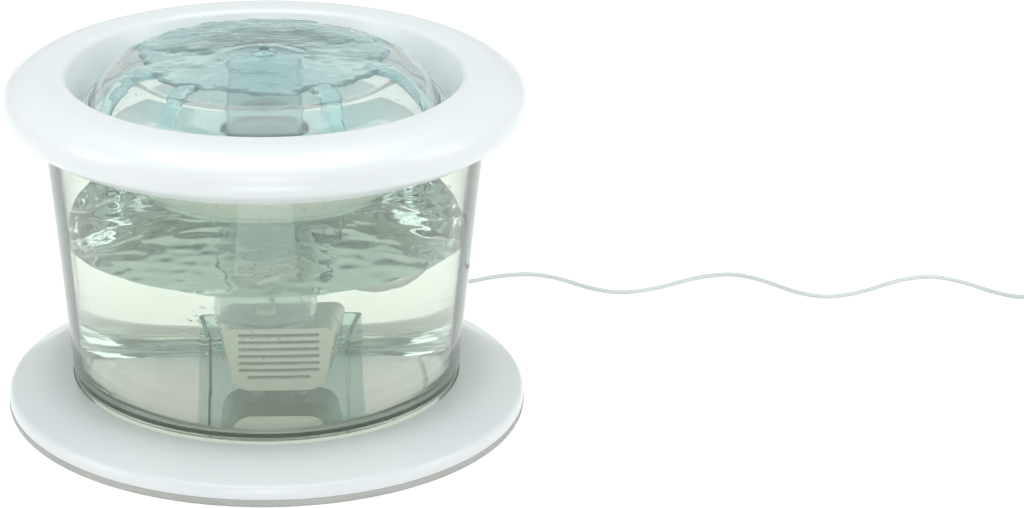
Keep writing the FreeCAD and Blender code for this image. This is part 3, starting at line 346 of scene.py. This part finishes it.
def make_camera():
    lens = bpy.data.cameras.new("camera")
    lens.lens = SENSOR * FOCAL_PIXELS / PHOTO_WIDE
    lens.sensor_width = SENSOR
    lens.shift_x = (PHOTO_WIDE / 2 - AXIS_ACROSS) / PHOTO_WIDE
    lens.shift_y = -(PHOTO_TALL / 2 - AXIS_DOWN) / PHOTO_WIDE
    camera = link_object("camera", lens)
    camera.location = (0, -CAMERA_REACH * math.cos(CAMERA_RISE),
                       AIM_LEVEL + CAMERA_REACH * math.sin(CAMERA_RISE))
    tilt = Euler((math.pi / 2 - CAMERA_RISE, 0, 0)).to_matrix().to_4x4()
    camera.rotation_euler = (tilt @ Euler((0, 0, -CAMERA_ROLL)).to_matrix().to_4x4()).to_euler()
    bpy.context.scene.camera = camera


# Light, floor and the pale studio round it

FLOOR_HALF, FLOOR_LEVEL = 30000.0, -0.05
MIDDLE = (0, 0, 0.1)  # what the softboxes aim at, in metres


def make_world():
    world = bpy.data.worlds.new("studio")
    world.use_nodes = True
    tree = world.node_tree
    sky = tree.nodes["Background"]
    place = add(tree, "ShaderNodeTexCoord")
    split = add(tree, "ShaderNodeSeparateXYZ")
    tree.links.new(place.outputs["Generated"], split.inputs["Vector"])
    ramp = add(tree, "ShaderNodeValToRGB")
    bands = ramp.color_ramp
    bands.elements[0].position, bands.elements[0].color = 0.0, (0.95, 0.96, 0.95, 1)
    bands.elements[1].position, bands.elements[1].color = 1.0, (0.95, 0.97, 0.97, 1)
    for position, colour in ((0.42, (1, 1, 1, 1)), (0.62, (0.36, 0.55, 0.55, 1)),
                             (0.80, (0.45, 0.64, 0.64, 1))):
        bands.elements.new(position).color = colour
    tree.links.new(split.outputs["Z"], ramp.inputs["Fac"])
    tree.links.new(ramp.outputs["Color"], sky.inputs["Color"])
    sky.inputs["Strength"].default_value = 0.62
    white = add(tree, "ShaderNodeBackground", Strength=1.0, Color=(1, 1, 1, 1))
    mixed = mix_by_ray(tree, sky.outputs["Background"], white.outputs["Background"], ["Is Camera Ray"])
    tree.links.new(mixed, tree.nodes["World Output"].inputs["Surface"])
    bpy.context.scene.world = world


def make_floor():
    corners = [(x * FLOOR_HALF, y * FLOOR_HALF, FLOOR_LEVEL)
               for x, y in ((-1, -1), (1, -1), (1, 1), (-1, 1))]
    floor = mesh_object("floor", corners, [(0, 1, 2, 3)], smooth=False)
    material, tree, shader = new_material("floor_white")
    set_inputs(shader, {"Base Color": (0.93, 0.93, 0.93, 1), "Roughness": 0.9, "Specular IOR Level": 0.1})
    glow = add(tree, "ShaderNodeEmission", Strength=0.5)
    both = add(tree, "ShaderNodeAddShader")
    tree.links.new(shader.outputs["BSDF"], both.inputs[0])
    tree.links.new(glow.outputs["Emission"], both.inputs[1])
    mixed = mix_by_ray(tree, shader.outputs["BSDF"], both.outputs["Shader"],
                       ["Is Camera Ray", "Is Glossy Ray", "Is Transmission Ray"])
    tree.links.new(mixed, tree.nodes["Material Output"].inputs["Surface"])
    dress(floor, material)


def make_lamp(name, place, aim, wide, tall, watts, colour=(1, 1, 1), only_gloss=False):
    lamp = bpy.data.lights.new(name, "AREA")
    lamp.shape, lamp.size, lamp.size_y = "RECTANGLE", wide, tall
    lamp.energy, lamp.color = watts, colour
    holder = link_object(name, lamp)
    holder.location = place
    holder.visible_camera = False
    if only_gloss:
        holder.visible_diffuse = holder.visible_transmission = False
    holder.rotation_euler = (Vector(aim) - Vector(place)).to_track_quat("-Z", "Y").to_euler()


make_camera()
make_world()
make_floor()
for lamp_name, place, wide, tall, watts in (
        ("overhead_softbox", (0.0, -0.2, 1.7), 1.6, 1.2, 12.5),
        ("front_softbox", (0.0, -2.2, 0.75), 0.6, 1.1, 6),
        ("left_softbox", (-1.8, -0.4, 0.9), 0.9, 1.3, 7),
        ("right_softbox", (1.8, -0.3, 0.9), 0.9, 1.3, 6.5)):
    make_lamp(lamp_name, place, MIDDLE, wide, tall, watts)
make_lamp("low_strip", (0.0, -0.36, 0.006), (0, -0.30, 0.3), 0.17, 0.34, 0.5, (0.9, 0.97, 1.0),
          only_gloss=True)

# Cord: its points repeat the route of the solids, in metres

CORD_ROUTE = [
    (0.0, 0.1299, 0.168), (0.0, 0.13026, 0.148), (0.001, 0.133, 0.118), (0.005, 0.142, 0.084),
    (0.010, 0.154, 0.052), (0.016, 0.164, 0.026), (0.028, 0.171, 0.0014), (0.056, 0.1725, 0.0014),
    (0.088, 0.167, 0.0014), (0.118, 0.165, 0.0014), (0.153, 0.1827, 0.0014), (0.179, 0.1825, 0.0014),
    (0.2115, 0.1508, 0.0014), (0.238, 0.1512, 0.0014), (0.281, 0.1798, 0.0014), (0.307, 0.1795, 0.0014),
    (0.338, 0.1413, 0.0014), (0.3655, 0.1414, 0.0014), (0.407, 0.1729, 0.0014), (0.4335, 0.1727, 0.0014),
    (0.463, 0.1384, 0.0014), (0.486, 0.1374, 0.0014), (0.5074, 0.1374, 0.0014),
]
CORD_RADIUS = 0.0013
COIL_START = Vector((0.510, 0.1374, 0.0014))
COIL_MIDDLE, COIL_PITCH, TURNS_A_LAYER, COIL_TURNS = 0.0145, 0.0032, 3, 11.75
COIL_LAYERS = 4
COIL_HALF_WIDTH = COIL_PITCH * TURNS_A_LAYER / 2
CLIMB = 0.5  # part of a turn in which the cord climbs to the next layer
POINTS_A_TURN = 16
JUST_BEFORE = 0.002  # part of a turn, to find the way the cord's end points


def coil_place(turn):
    """Centre of the coil's cord after a number of turns: piled layers that spiral in and out."""
    outer = COIL_MIDDLE + COIL_HALF_WIDTH
    layer, through = divmod(turn, TURNS_A_LAYER)
    inward = int(layer) % 2 == 0
    radius = outer - COIL_PITCH * (through if inward else TURNS_A_LAYER - through)
    level = COIL_START.z
    for climb in range(1, COIL_LAYERS):
        share = min(max((turn - climb * TURNS_A_LAYER + CLIMB / 2) / CLIMB, 0.0), 1.0)
        level += COIL_PITCH * share * share * (3 - 2 * share)
    angle = TURN * turn - math.pi / 2
    return Vector((COIL_START.x + radius * math.cos(angle),
                   COIL_START.y + outer + radius * math.sin(angle), level))


def make_cord():
    count = int(COIL_TURNS * POINTS_A_TURN)
    coil = [coil_place(step / POINTS_A_TURN) for step in range(count + 1)]
    way = (coil[-1] - coil_place(COIL_TURNS - JUST_BEFORE)).normalized()
    points = [Vector(p) for p in CORD_ROUTE] + coil + [coil[-1] + way * 2 * CORD_RADIUS]
    line = bpy.data.curves.new("cord_line", "CURVE")
    line.dimensions = "3D"
    line.bevel_depth = CORD_RADIUS
    line.bevel_resolution = 5
    line.use_fill_caps = True
    line.resolution_u = 10
    spline = line.splines.new("NURBS")
    spline.points.add(len(points) - 1)
    for spot, place in zip(spline.points, points):
        spot.co = (*place, 1)
    spline.order_u = 3
    spline.use_endpoint_u = True
    cord = link_object("cord_line", line)
    line.materials.append(SHEATH)
    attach(cord, "vessel")
    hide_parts("cord_lead", "cord_coil")


make_cord()


# White rings and the soft strip, turned finely over their solids. Outlines are
# (radius, level) or (radius, level, rounding), in millimetres.

BORE_GAP, BASE_WALL = 0.4, 2.6


def make_round_shells():
    span = BASE_RADIUS - tank_outside(BASE_TOP) - BORE_GAP
    edge = GRIP_HEIGHT + OVAL_SHARE * (BASE_TOP - GRIP_HEIGHT)
    shoulder = BASE_RADIUS - span * (1 - OVAL_SHARE)
    bore_foot, bore_head = tank_outside(TANK_FOOT_LEVEL) + BORE_GAP, tank_outside(BASE_TOP) + BORE_GAP
    base = lathe("base_ring_shell", [
        (101, 5.4), (101, 8), (bore_foot, 8), (bore_head, BASE_TOP, 0.5), (shoulder, BASE_TOP, 50),
        (BASE_RADIUS, edge, 9.8), (BASE_RADIUS, GRIP_HEIGHT, 0.4), (143.3, GRIP_HEIGHT), (143.3, 7.1),
        (138.7, 7.1), (138.7, GRIP_HEIGHT), (134.5, GRIP_HEIGHT), (134.5, 9.4), (146.3, 9.4),
        (shoulder, 17.7), (bore_head + BASE_WALL, 17.7), (bore_foot + BASE_WALL, 5.4)])
    strip = lathe("anti_slip_strip", [
        (133, 0), (149.2, 0, 0.8), (150, 1.6, 0.8), (150, 3.9, 0.5), (149.4, GRIP_HEIGHT), (143, GRIP_HEIGHT),
        (143, 6.8), (139, 6.8), (139, GRIP_HEIGHT), (133, GRIP_HEIGHT)])
    return ((base, WHITE, "white_plastic", "base_ring"), (strip, RUBBER, "grey_rubber", "anti_slip_ring"))


def make_drinking_ring():
    crest, belly = OVAL_LEVEL + OVAL_TALL, OVAL_LEVEL - OVAL_TALL
    wide, tall = OVAL_RADIUS + OVAL_SHARE * OVAL_WIDE, OVAL_SHARE * OVAL_TALL
    tip = OVAL_RADIUS + OVAL_WIDE
    return lathe("drinking_ring_shell", [
        (LEDGE_IN, LEDGE_LEVEL - RING_WALL), (LEDGE_IN, LEDGE_LEVEL, 0.4), (LEDGE_OUT, LEDGE_LEVEL),
        (112.5, crest, 4.5), (wide, crest, 24), (tip, OVAL_LEVEL + tall, 11.5),
        (tip, OVAL_LEVEL - tall, 11.5),
        (wide, belly, 12), (128.6, belly, 0.5), (128.6, belly + RING_WALL, 0.5),
        (wide - 1, belly + RING_WALL, 9.6), (tip - RING_WALL, OVAL_LEVEL - 0.9 * tall, 9.1),
        (tip - RING_WALL, OVAL_LEVEL + 0.9 * tall, 9.1), (wide - 1, crest - RING_WALL, 21.6),
        (114.2, crest - RING_WALL), (106.2, LEDGE_LEVEL - RING_WALL)], steps=9)


for shell, finish, slot_name, node_name in make_round_shells():
    dress(shell, finish)
    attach(shell, "vessel")
    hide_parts(node_name)
ring_shell = dress(make_drinking_ring(), WHITE)
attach(ring_shell, "ring")
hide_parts("drinking_ring")


# Clear pieces

INNER_CORNER = tank_outside(FLOOR_TOP) - TANK_WALL
DOME_OUTSIDE = [  # radius, level
    (0, 208.9), (30, 207.6), (50, 206.6), (66, 205.7), (74, 205.0), (79, 203.9), (84, 201.6),
    (88, 198.7), (91.5, 195.4), (94, 191.6), (96.2, 188.0), (99, 183.4), (101.3, 183.4)]


def make_tank():
    thick = FLOOR_CORNER + TANK_WALL
    under_corner = INNER_CORNER - FLOOR_CORNER + thick * OVAL_SHARE
    crevice = FLOOR_TOP - TANK_WALL + thick * (1 - math.sin(math.radians(45))) + 0.3
    return lathe("tank_shell", [
        (0, FLOOR_TOP - TANK_WALL), (under_corner, FLOOR_TOP - TANK_WALL, thick),
        (under_corner + crevice - FLOOR_TOP + TANK_WALL, crevice, 0.8),
        (tank_outside(crevice) - TANK_WALL, crevice, 0.8),
        (TANK_FOOT - TANK_WALL, TANK_FOOT_LEVEL), (TANK_FOOT, TANK_FOOT_LEVEL),
        (TANK_RIM, TANK_RIM_LEVEL, 0.8), (TANK_RIM - TANK_WALL, TANK_RIM_LEVEL, 0.8),
        (INNER_CORNER, FLOOR_TOP, FLOOR_CORNER), (0, FLOOR_TOP)], steps=10)


def dome_top(radius):
    """Level of the dome's outer face."""
    for (r0, z0), (r1, z1) in zip(DOME_OUTSIDE, DOME_OUTSIDE[1:]):
        if radius <= r1:
            return z0 + (z1 - z0) * (radius - r0) / (r1 - r0)
    return DOME_OUTSIDE[-1][1]


def make_dome():
    return lathe("dome_shell", [
        (7, 206.6, 0.5), (79.2, 201.9, 9.8), (91.4, 193, 12.8), (96.8, FLANGE_FOOT),
        (101.3, FLANGE_FOOT, 0.4), (101.3, FLANGE_HEAD, 0.4), (99, FLANGE_HEAD, 1.2),
        (93.6, FLANGE_HEAD + 11.2, 15), (80.5, FLANGE_HEAD + 21.6, 12), (7, 208.8, 0.8)], steps=10)


def make_bowl():
    return lathe("bowl_shell", [
        (22.3, 113, 0.5), (24.3, 113, 0.5), (24.3, 130.5, 3), (88, 135.5, 22), (97, 177.8, 1),
        (103.9, 177.8, 0.5), (103.9, 179.8, 0.5), (95.4, 179.8, 1.5), (86, 137.5, 20), (24.3, 132.5, 2),
        (24.3, 140, 0.5), (22.3, 140, 0.5)], steps=9)


def make_stem():
    return lathe("stem_shell", [
        (4.6, STEM_FOOT), (STEM_RADIUS, STEM_FOOT, 1), (STEM_RADIUS, STEM_TOP, 0.6), (19.5, STEM_TOP, 0.6),
        (19.5, STEM_FOOT + 2, 2), (4.6, STEM_FOOT + 2)], sides=96)


for shell, finish, slot_name, body_name, node_name in (
        (make_tank(), TANK, "tank_clear", "vessel", "tank"),
        (make_dome(), CLEAR, "clear_plastic", "dome", "water_dome"),
        (make_bowl(), CLEAR, "clear_plastic", "bowl", "filter_bowl"),
        (make_stem(), STEM, "clear_plastic", "vessel", "stem_tube")):
    dress(shell, finish)
    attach(shell, body_name)
    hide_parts(node_name)


# Filling of the bowl and the pump's foam

def lump(piece, amount, scale, seed):
    for vertex in piece.data.vertices:
        offset = noise.noise(vertex.co * scale + Vector((seed, seed, seed)))
        vertex.co += vertex.normal * offset * amount
    return piece


foam = lump(lathe("filter_foam_body", [(24.9, 133.6, 1), (84.6, 138.6, 19), (91.5, 162, 2), (24.9, 162, 2)],
                  steps=8, sides=160), 0.0003, 260.0, 3.0)
dress(foam, FOAM)
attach(foam, "bowl")
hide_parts("foam_filter")


def make_pouch():
    """Flat ring of non-woven cloth, drawn in along its radial welds."""
    pouch = lathe("filter_pouch_body", [
        (24.9, 163.6, 1.5), (87.6, 163.6, 3), (87.6, 169.8, 3), (24.9, 169.8, 1.5)], steps=5, sides=240)
    shape = bmesh.new()
    shape.from_mesh(pouch.data)
    bmesh.ops.subdivide_edges(shape, edges=[e for e in shape.edges if e.calc_length() > 0.02], cuts=14)
    shape.to_mesh(pouch.data)
    shape.free()
    middle = 166.7 * MM
    for vertex in pouch.data.vertices:
        radius = math.hypot(vertex.co.x, vertex.co.y) / MM
        angle = math.atan2(vertex.co.y, vertex.co.x)
        weld = abs(math.sin(angle * 4))
        belly = max(0.0, math.sin(math.pi * (radius - 25) / 62.6)) * min(1.0, weld * 2.2)
        vertex.co.z = middle + (vertex.co.z - middle) * (0.45 + 0.95 * belly)
    return pouch


pouch = dress(make_pouch(), POUCH)
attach(pouch, "bowl")
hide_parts("carbon_cartridge")


def make_foam_pad():
    low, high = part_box("grille_foam")
    middle = [(low[axis] + high[axis]) / 2 for axis in range(3)]
    shrink, foot_share = 0.985, 0.84
    shape = bmesh.new()
    bmesh.ops.create_cube(shape, size=1.0)
    for vertex in shape.verts:
        for axis in range(3):
            vertex.co[axis] = middle[axis] + vertex.co[axis] * (high[axis] - low[axis]) * shrink
        if vertex.co.z < middle[2]:
            vertex.co.x = middle[0] + (vertex.co.x - middle[0]) * foot_share
    through = [e for e in shape.edges if abs((e.verts[0].co - e.verts[1].co).y) > 0.002]
    bmesh.ops.bevel(shape, geom=through, offset=0.0045, segments=5, affect="EDGES", profile=0.5)
    bmesh.ops.subdivide_edges(shape, edges=[e for e in shape.edges if e.calc_length() > 0.006], cuts=8,
                              use_grid_fill=True)
    mesh = bpy.data.meshes.new("grille_foam_pad")
    shape.to_mesh(mesh)
    shape.free()
    shade(mesh)
    return link_object("grille_foam_pad", mesh)


pad = dress(make_foam_pad(), DARK_FOAM)
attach(pad, "grille")
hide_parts("grille_foam")


# Water

def swell(x, y, seed, size):
    """Crossing ripples, from about minus one to one."""
    spot = Vector((x / size + seed, y / size, seed))
    warp = noise.noise(spot * 0.5) * 1.6
    return noise.noise(Vector((spot.x + warp, spot.y - warp, seed))) * 1.2 \
        + 0.45 * noise.noise(Vector((spot.x * 2.3 - warp, spot.y * 2.3 + warp, seed + 9)))


WATER_GAP = 0.15
WATER_SIDES, TOP_STEPS = 288, 84
RIPPLE_HEIGHT, RIPPLE_SEED, RIPPLE_SIZE = 1.7, 4.0, 24.0
FINE_HEIGHT, FINE_SEED, FINE_SIZE = 0.3, 8.0, 9.0
CALM_RIM = 0.55  # share of the ripples' height that is left where the water meets the wall


def make_tank_water():
    """Body of water inside the tank's wall, with its rippled top."""
    foot = FLOOR_TOP + WATER_GAP
    wall = rounded([(0, foot), (INNER_CORNER - WATER_GAP, foot, FLOOR_CORNER),
                    (tank_outside(WATER_LEVEL) - TANK_WALL - WATER_GAP, WATER_LEVEL),
                    (0, WATER_LEVEL)], 9)
    rim_radius = wall[-2].x
    verts = []
    rings = [add_ring(verts, spot.x, spot.y, WATER_SIDES) for spot in wall[:-2]]
    for step in range(TOP_STEPS):
        radius = rim_radius * (1 - step / TOP_STEPS)
        share = CALM_RIM if step == 0 else 1.0
        rings.append(list(range(len(verts), len(verts) + WATER_SIDES)))
        for k in range(WATER_SIDES):
            x, y = radius * math.cos(TURN * k / WATER_SIDES), radius * math.sin(TURN * k / WATER_SIDES)
            bulge = RIPPLE_HEIGHT * swell(x * 0.8, y * 1.3, RIPPLE_SEED, RIPPLE_SIZE) \
                + FINE_HEIGHT * swell(x, y, FINE_SEED, FINE_SIZE)
            verts.append((x, y, WATER_LEVEL + bulge * share))
    centre = WATER_LEVEL + RIPPLE_HEIGHT * swell(0, 0, RIPPLE_SEED, RIPPLE_SIZE)
    rings.append(add_ring(verts, 0, centre, WATER_SIDES))
    faces = join_rings(rings, closed=False)
    water = point_out(mesh_object("water_in_tank", verts, faces, crease=70))
    water.data.materials.append(WATER)
    water.data.materials.append(WATER_TOP_PAINTED_REFLECTION)
    # The top faces take the darker teal material, a painted reflection on the water's surface.
    top_from, faces_up = (WATER_LEVEL - 4) * MM, 0.5
    for face in water.data.polygons:
        if face.center.z > top_from and face.normal.z > faces_up:
            face.material_index = 1
    return water


POOL_RADIUS = 70.0
SHORE_WIDTH = 3.2  # millimetres over which the pool's edge rises
RIVULETS = [  # heading in degrees, half width and thickness in millimetres
    (-160, 11.0, 2.2), (-128, 6.0, 1.2), (-62, 7.0, 1.5), (-18, 9.0, 2.0), (32, 7.0, 1.2),
    (95, 8.0, 1.2), (150, 7.0, 1.2),
]


def water_depth(x, y):
    """Depth of the water that lies on the dome: a rippled pool and the runs that leave it."""
    radius, angle = math.hypot(x, y), math.atan2(y, x)
    east, north = math.cos(angle), math.sin(angle)
    shore = POOL_RADIUS + 9 * north + 7.0 * noise.noise(Vector((east * 2.2, north * 2.2, 1.7))) \
        + 4.0 * noise.noise(Vector((east * 6, north * 6, 5.0)))
    inside = min(max((shore - radius) / SHORE_WIDTH, 0.0), 1.0)
    ripples = 0.75 * swell(x * 0.8, y * 1.2, 2.0, 19.0) + 0.14 * swell(x, y, 6.0, 7.0)
    depth = math.sqrt(inside) * (1.7 + ripples)
    depth += 2.6 * math.exp(-((x + 2) ** 2 + (y + 4) ** 2) / 320.0) * inside
    for heading, half, thick in RIVULETS:
        aim = math.radians(heading + 3 * math.sin(radius / 9.0 + heading))
        across = radius * math.sin(angle - aim)
        if math.cos(angle - aim) > 0 and radius > POOL_RADIUS - 12:
            width = half * (1 + 0.35 * (shore + 6 - radius) / 30 if radius < shore + 30 else 0.65)
            edge = 1 - (across / width) ** 2
            if edge > 0:
                depth = max(depth, thick * math.sqrt(edge) * (1 + 0.25 * swell(x, y, 3.0, 7.0)))
    return depth


SHEET_SIDES, SHEET_STEPS, SHEET_IN, SHEET_OUT = 360, 150, 3.0, 97.5
LEAST_DEPTH, SHEET_OFF_DOME, SHEET_THICK = 0.12, 0.05, 0.08


def make_dome_water():
    """Closed sheet of water on the dome, cut where it runs dry."""
    sides, steps = SHEET_SIDES, SHEET_STEPS
    cells = {}
    for j in range(steps + 1):
        radius = SHEET_IN + (SHEET_OUT - SHEET_IN) * j / steps
        for k in range(sides):
            x, y = radius * math.cos(TURN * k / sides), radius * math.sin(TURN * k / sides)
            cells[j, k] = (x, y, dome_top(radius), water_depth(x, y))
    verts, top, under, faces = [], {}, {}, []

    def spot(store, key, rise):
        if key not in store:
            x, y, level, depth = cells[key]
            store[key] = len(verts)
            lift = max(depth, SHEET_OFF_DOME) + SHEET_THICK if rise else SHEET_OFF_DOME
            verts.append((x, y, level + lift))
        return store[key]

    edges = {}
    for j in range(steps):
        for k in range(sides):
            ring = [(j, k), (j, (k + 1) % sides), (j + 1, (k + 1) % sides), (j + 1, k)]
            if sum(cells[key][3] for key in ring) / 4 < LEAST_DEPTH:
                continue
            faces.append([spot(top, key, True) for key in ring][::-1])
            faces.append([spot(under, key, False) for key in ring])
            for here, there in zip(ring, ring[1:] + ring[:1]):
                pair = frozenset((here, there))
                edges[pair] = None if pair in edges else (here, there)
    for pair in edges.values():
        if pair:
            here, there = pair
            faces.append([top[here], top[there], under[there], under[here]])
    return point_out(mesh_object("water_on_dome", verts, faces, crease=75))


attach(make_tank_water(), "vessel")
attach(dress(make_dome_water(), DOME_WATER_PAINTED_REFLECTION), "dome")


# Bubbles, scattered by geometry nodes

def bubble_tree():
    tree = bpy.data.node_groups.new("scattered_bubbles", "GeometryNodeTree")
    tree.interface.new_socket("Geometry", in_out="INPUT", socket_type="NodeSocketGeometry")
    for name, default in (("Density", 9000.0), ("Smallest", 0.0004), ("Largest", 0.0013)):
        tree.interface.new_socket(name, in_out="INPUT", socket_type="NodeSocketFloat").default_value = default
    tree.interface.new_socket("Material", in_out="INPUT", socket_type="NodeSocketMaterial")
    tree.interface.new_socket("Geometry", in_out="OUTPUT", socket_type="NodeSocketGeometry")
    given, made = add(tree, "NodeGroupInput"), add(tree, "NodeGroupOutput")
    scatter = add(tree, "GeometryNodeDistributePointsOnFaces")
    scatter.inputs["Seed"].default_value = 11
    ball = add(tree, "GeometryNodeMeshIcoSphere", Subdivisions=2, Radius=1.0)
    size = add(tree, "FunctionNodeRandomValue")
    size.inputs["Seed"].default_value = 5
    place = add(tree, "GeometryNodeInstanceOnPoints")
    real = add(tree, "GeometryNodeRealizeInstances")
    smooth = add(tree, "GeometryNodeSetShadeSmooth")
    coat = add(tree, "GeometryNodeSetMaterial")
    link = tree.links.new
    link(given.outputs["Geometry"], scatter.inputs["Mesh"])
    link(given.outputs["Density"], scatter.inputs["Density"])
    link(given.outputs["Smallest"], size.inputs["Min"])
    link(given.outputs["Largest"], size.inputs["Max"])
    link(scatter.outputs["Points"], place.inputs["Points"])
    link(ball.outputs["Mesh"], place.inputs["Instance"])
    link(size.outputs["Value"], place.inputs["Scale"])
    link(place.outputs["Instances"], real.inputs["Geometry"])
    link(real.outputs["Geometry"], smooth.inputs["Geometry"])
    link(smooth.outputs["Geometry"], coat.inputs["Geometry"])
    link(given.outputs["Material"], coat.inputs["Material"])
    link(coat.outputs["Geometry"], made.inputs["Geometry"])
    return tree


BUBBLE = clear("air_bubble", (0.96, 0.99, 0.99), 1.12, 0.0)
BUBBLES = bubble_tree()


def scatter_bubbles(name, corners, density, smallest, largest, body_name, finish=BUBBLE):
    """Balls over a turned carrier: how many on a square metre, and their radii in metres."""
    carrier = lathe(name + "_carrier", corners, sides=48)
    modifier = carrier.modifiers.new("bubbles", "NODES")
    modifier.node_group = BUBBLES
    sizes = {"Density": density, "Smallest": smallest, "Largest": largest, "Material": finish}
    for socket in BUBBLES.interface.items_tree:
        if socket.in_out == "INPUT" and socket.name in sizes:
            modifier[socket.identifier] = sizes[socket.name]
    carrier.update_tag()
    evaluated = carrier.evaluated_get(bpy.context.evaluated_depsgraph_get())
    mesh = bpy.data.meshes.new_from_object(evaluated)
    mesh.name = name
    bubbles = link_object(name, mesh)
    bpy.data.objects.remove(carrier)
    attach(bubbles, body_name)


scatter_bubbles("bubbles_round_stem", [(24, 88), (34, 96), (30, 108), (24, 108)],
                14000.0, 0.0004, 0.0011, "vessel")
DROPS_LOW, DROPS_HIGH, DROPS_OFF_WALL, BAND_THICK = 132.0, 164.0, 0.45, 0.2
drops_foot = tank_outside(DROPS_LOW) - TANK_WALL - DROPS_OFF_WALL
drops_head = tank_outside(DROPS_HIGH) - TANK_WALL - DROPS_OFF_WALL
# The drops wear the running water's teal tint, which is painted reflection.
scatter_bubbles("drops_on_wall", [(drops_foot, DROPS_LOW), (drops_foot + BAND_THICK, DROPS_LOW),
                                  (drops_head + BAND_THICK, DROPS_HIGH), (drops_head, DROPS_HIGH)],
                2600.0, 0.0003, 0.0009, "vessel", finish=DOME_WATER_PAINTED_REFLECTION)
scatter_bubbles("bubbles_at_pump", [(30, 45), (36, 50), (34, 62), (29, 66)],
                9000.0, 0.0004, 0.0010, "vessel")


# Band that ties the put-away coil

def make_coil_tie():
    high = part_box("cord_coil")[1]
    middle = Vector((COIL_START.x, COIL_START.y + COIL_MIDDLE + COIL_HALF_WIDTH, 0))
    reach = COIL_HALF_WIDTH + 2 * CORD_RADIUS
    outer, inner = COIL_MIDDLE + reach, COIL_MIDDLE - reach
    top, foot, half, thick = high.z + 0.0004, 0.0002, 0.0022, 0.0004
    lift, corner_radius, least_level = 0.0002, 1.6, 0.1
    corners = [(inner, foot + lift), (outer, foot + lift), (outer, top), (inner, top)]
    verts, faces = [], []
    loop = rounded([(r / MM, z / MM, corner_radius) for r, z in corners], 5)
    centre = Vector(((inner + outer) / 2 / MM, (foot + top) / 2 / MM))
    for grow in (0.0, thick / MM):
        for side in (-half / MM, half / MM):
            for spot in loop:
                out = (spot - centre).normalized() * grow
                verts.append((middle.x / MM + spot.x + out.x, middle.y / MM + side,
                              max(spot.y + out.y, least_level)))
    count = len(loop)
    for k in range(count):
        after = (k + 1) % count
        faces.append([k, after, count + after, count + k])
        faces.append([2 * count + k, 3 * count + k, 3 * count + after, 2 * count + after])
        faces.append([k, 2 * count + k, 2 * count + after, after])
        faces.append([count + k, count + after, 3 * count + after, 3 * count + k])
    return point_out(mesh_object("coil_tie", verts, faces, crease=50))


tie = dress(make_coil_tie(), DARK)
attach(tie, "vessel")

bpy.context.scene.view_settings.view_transform = "Standard"
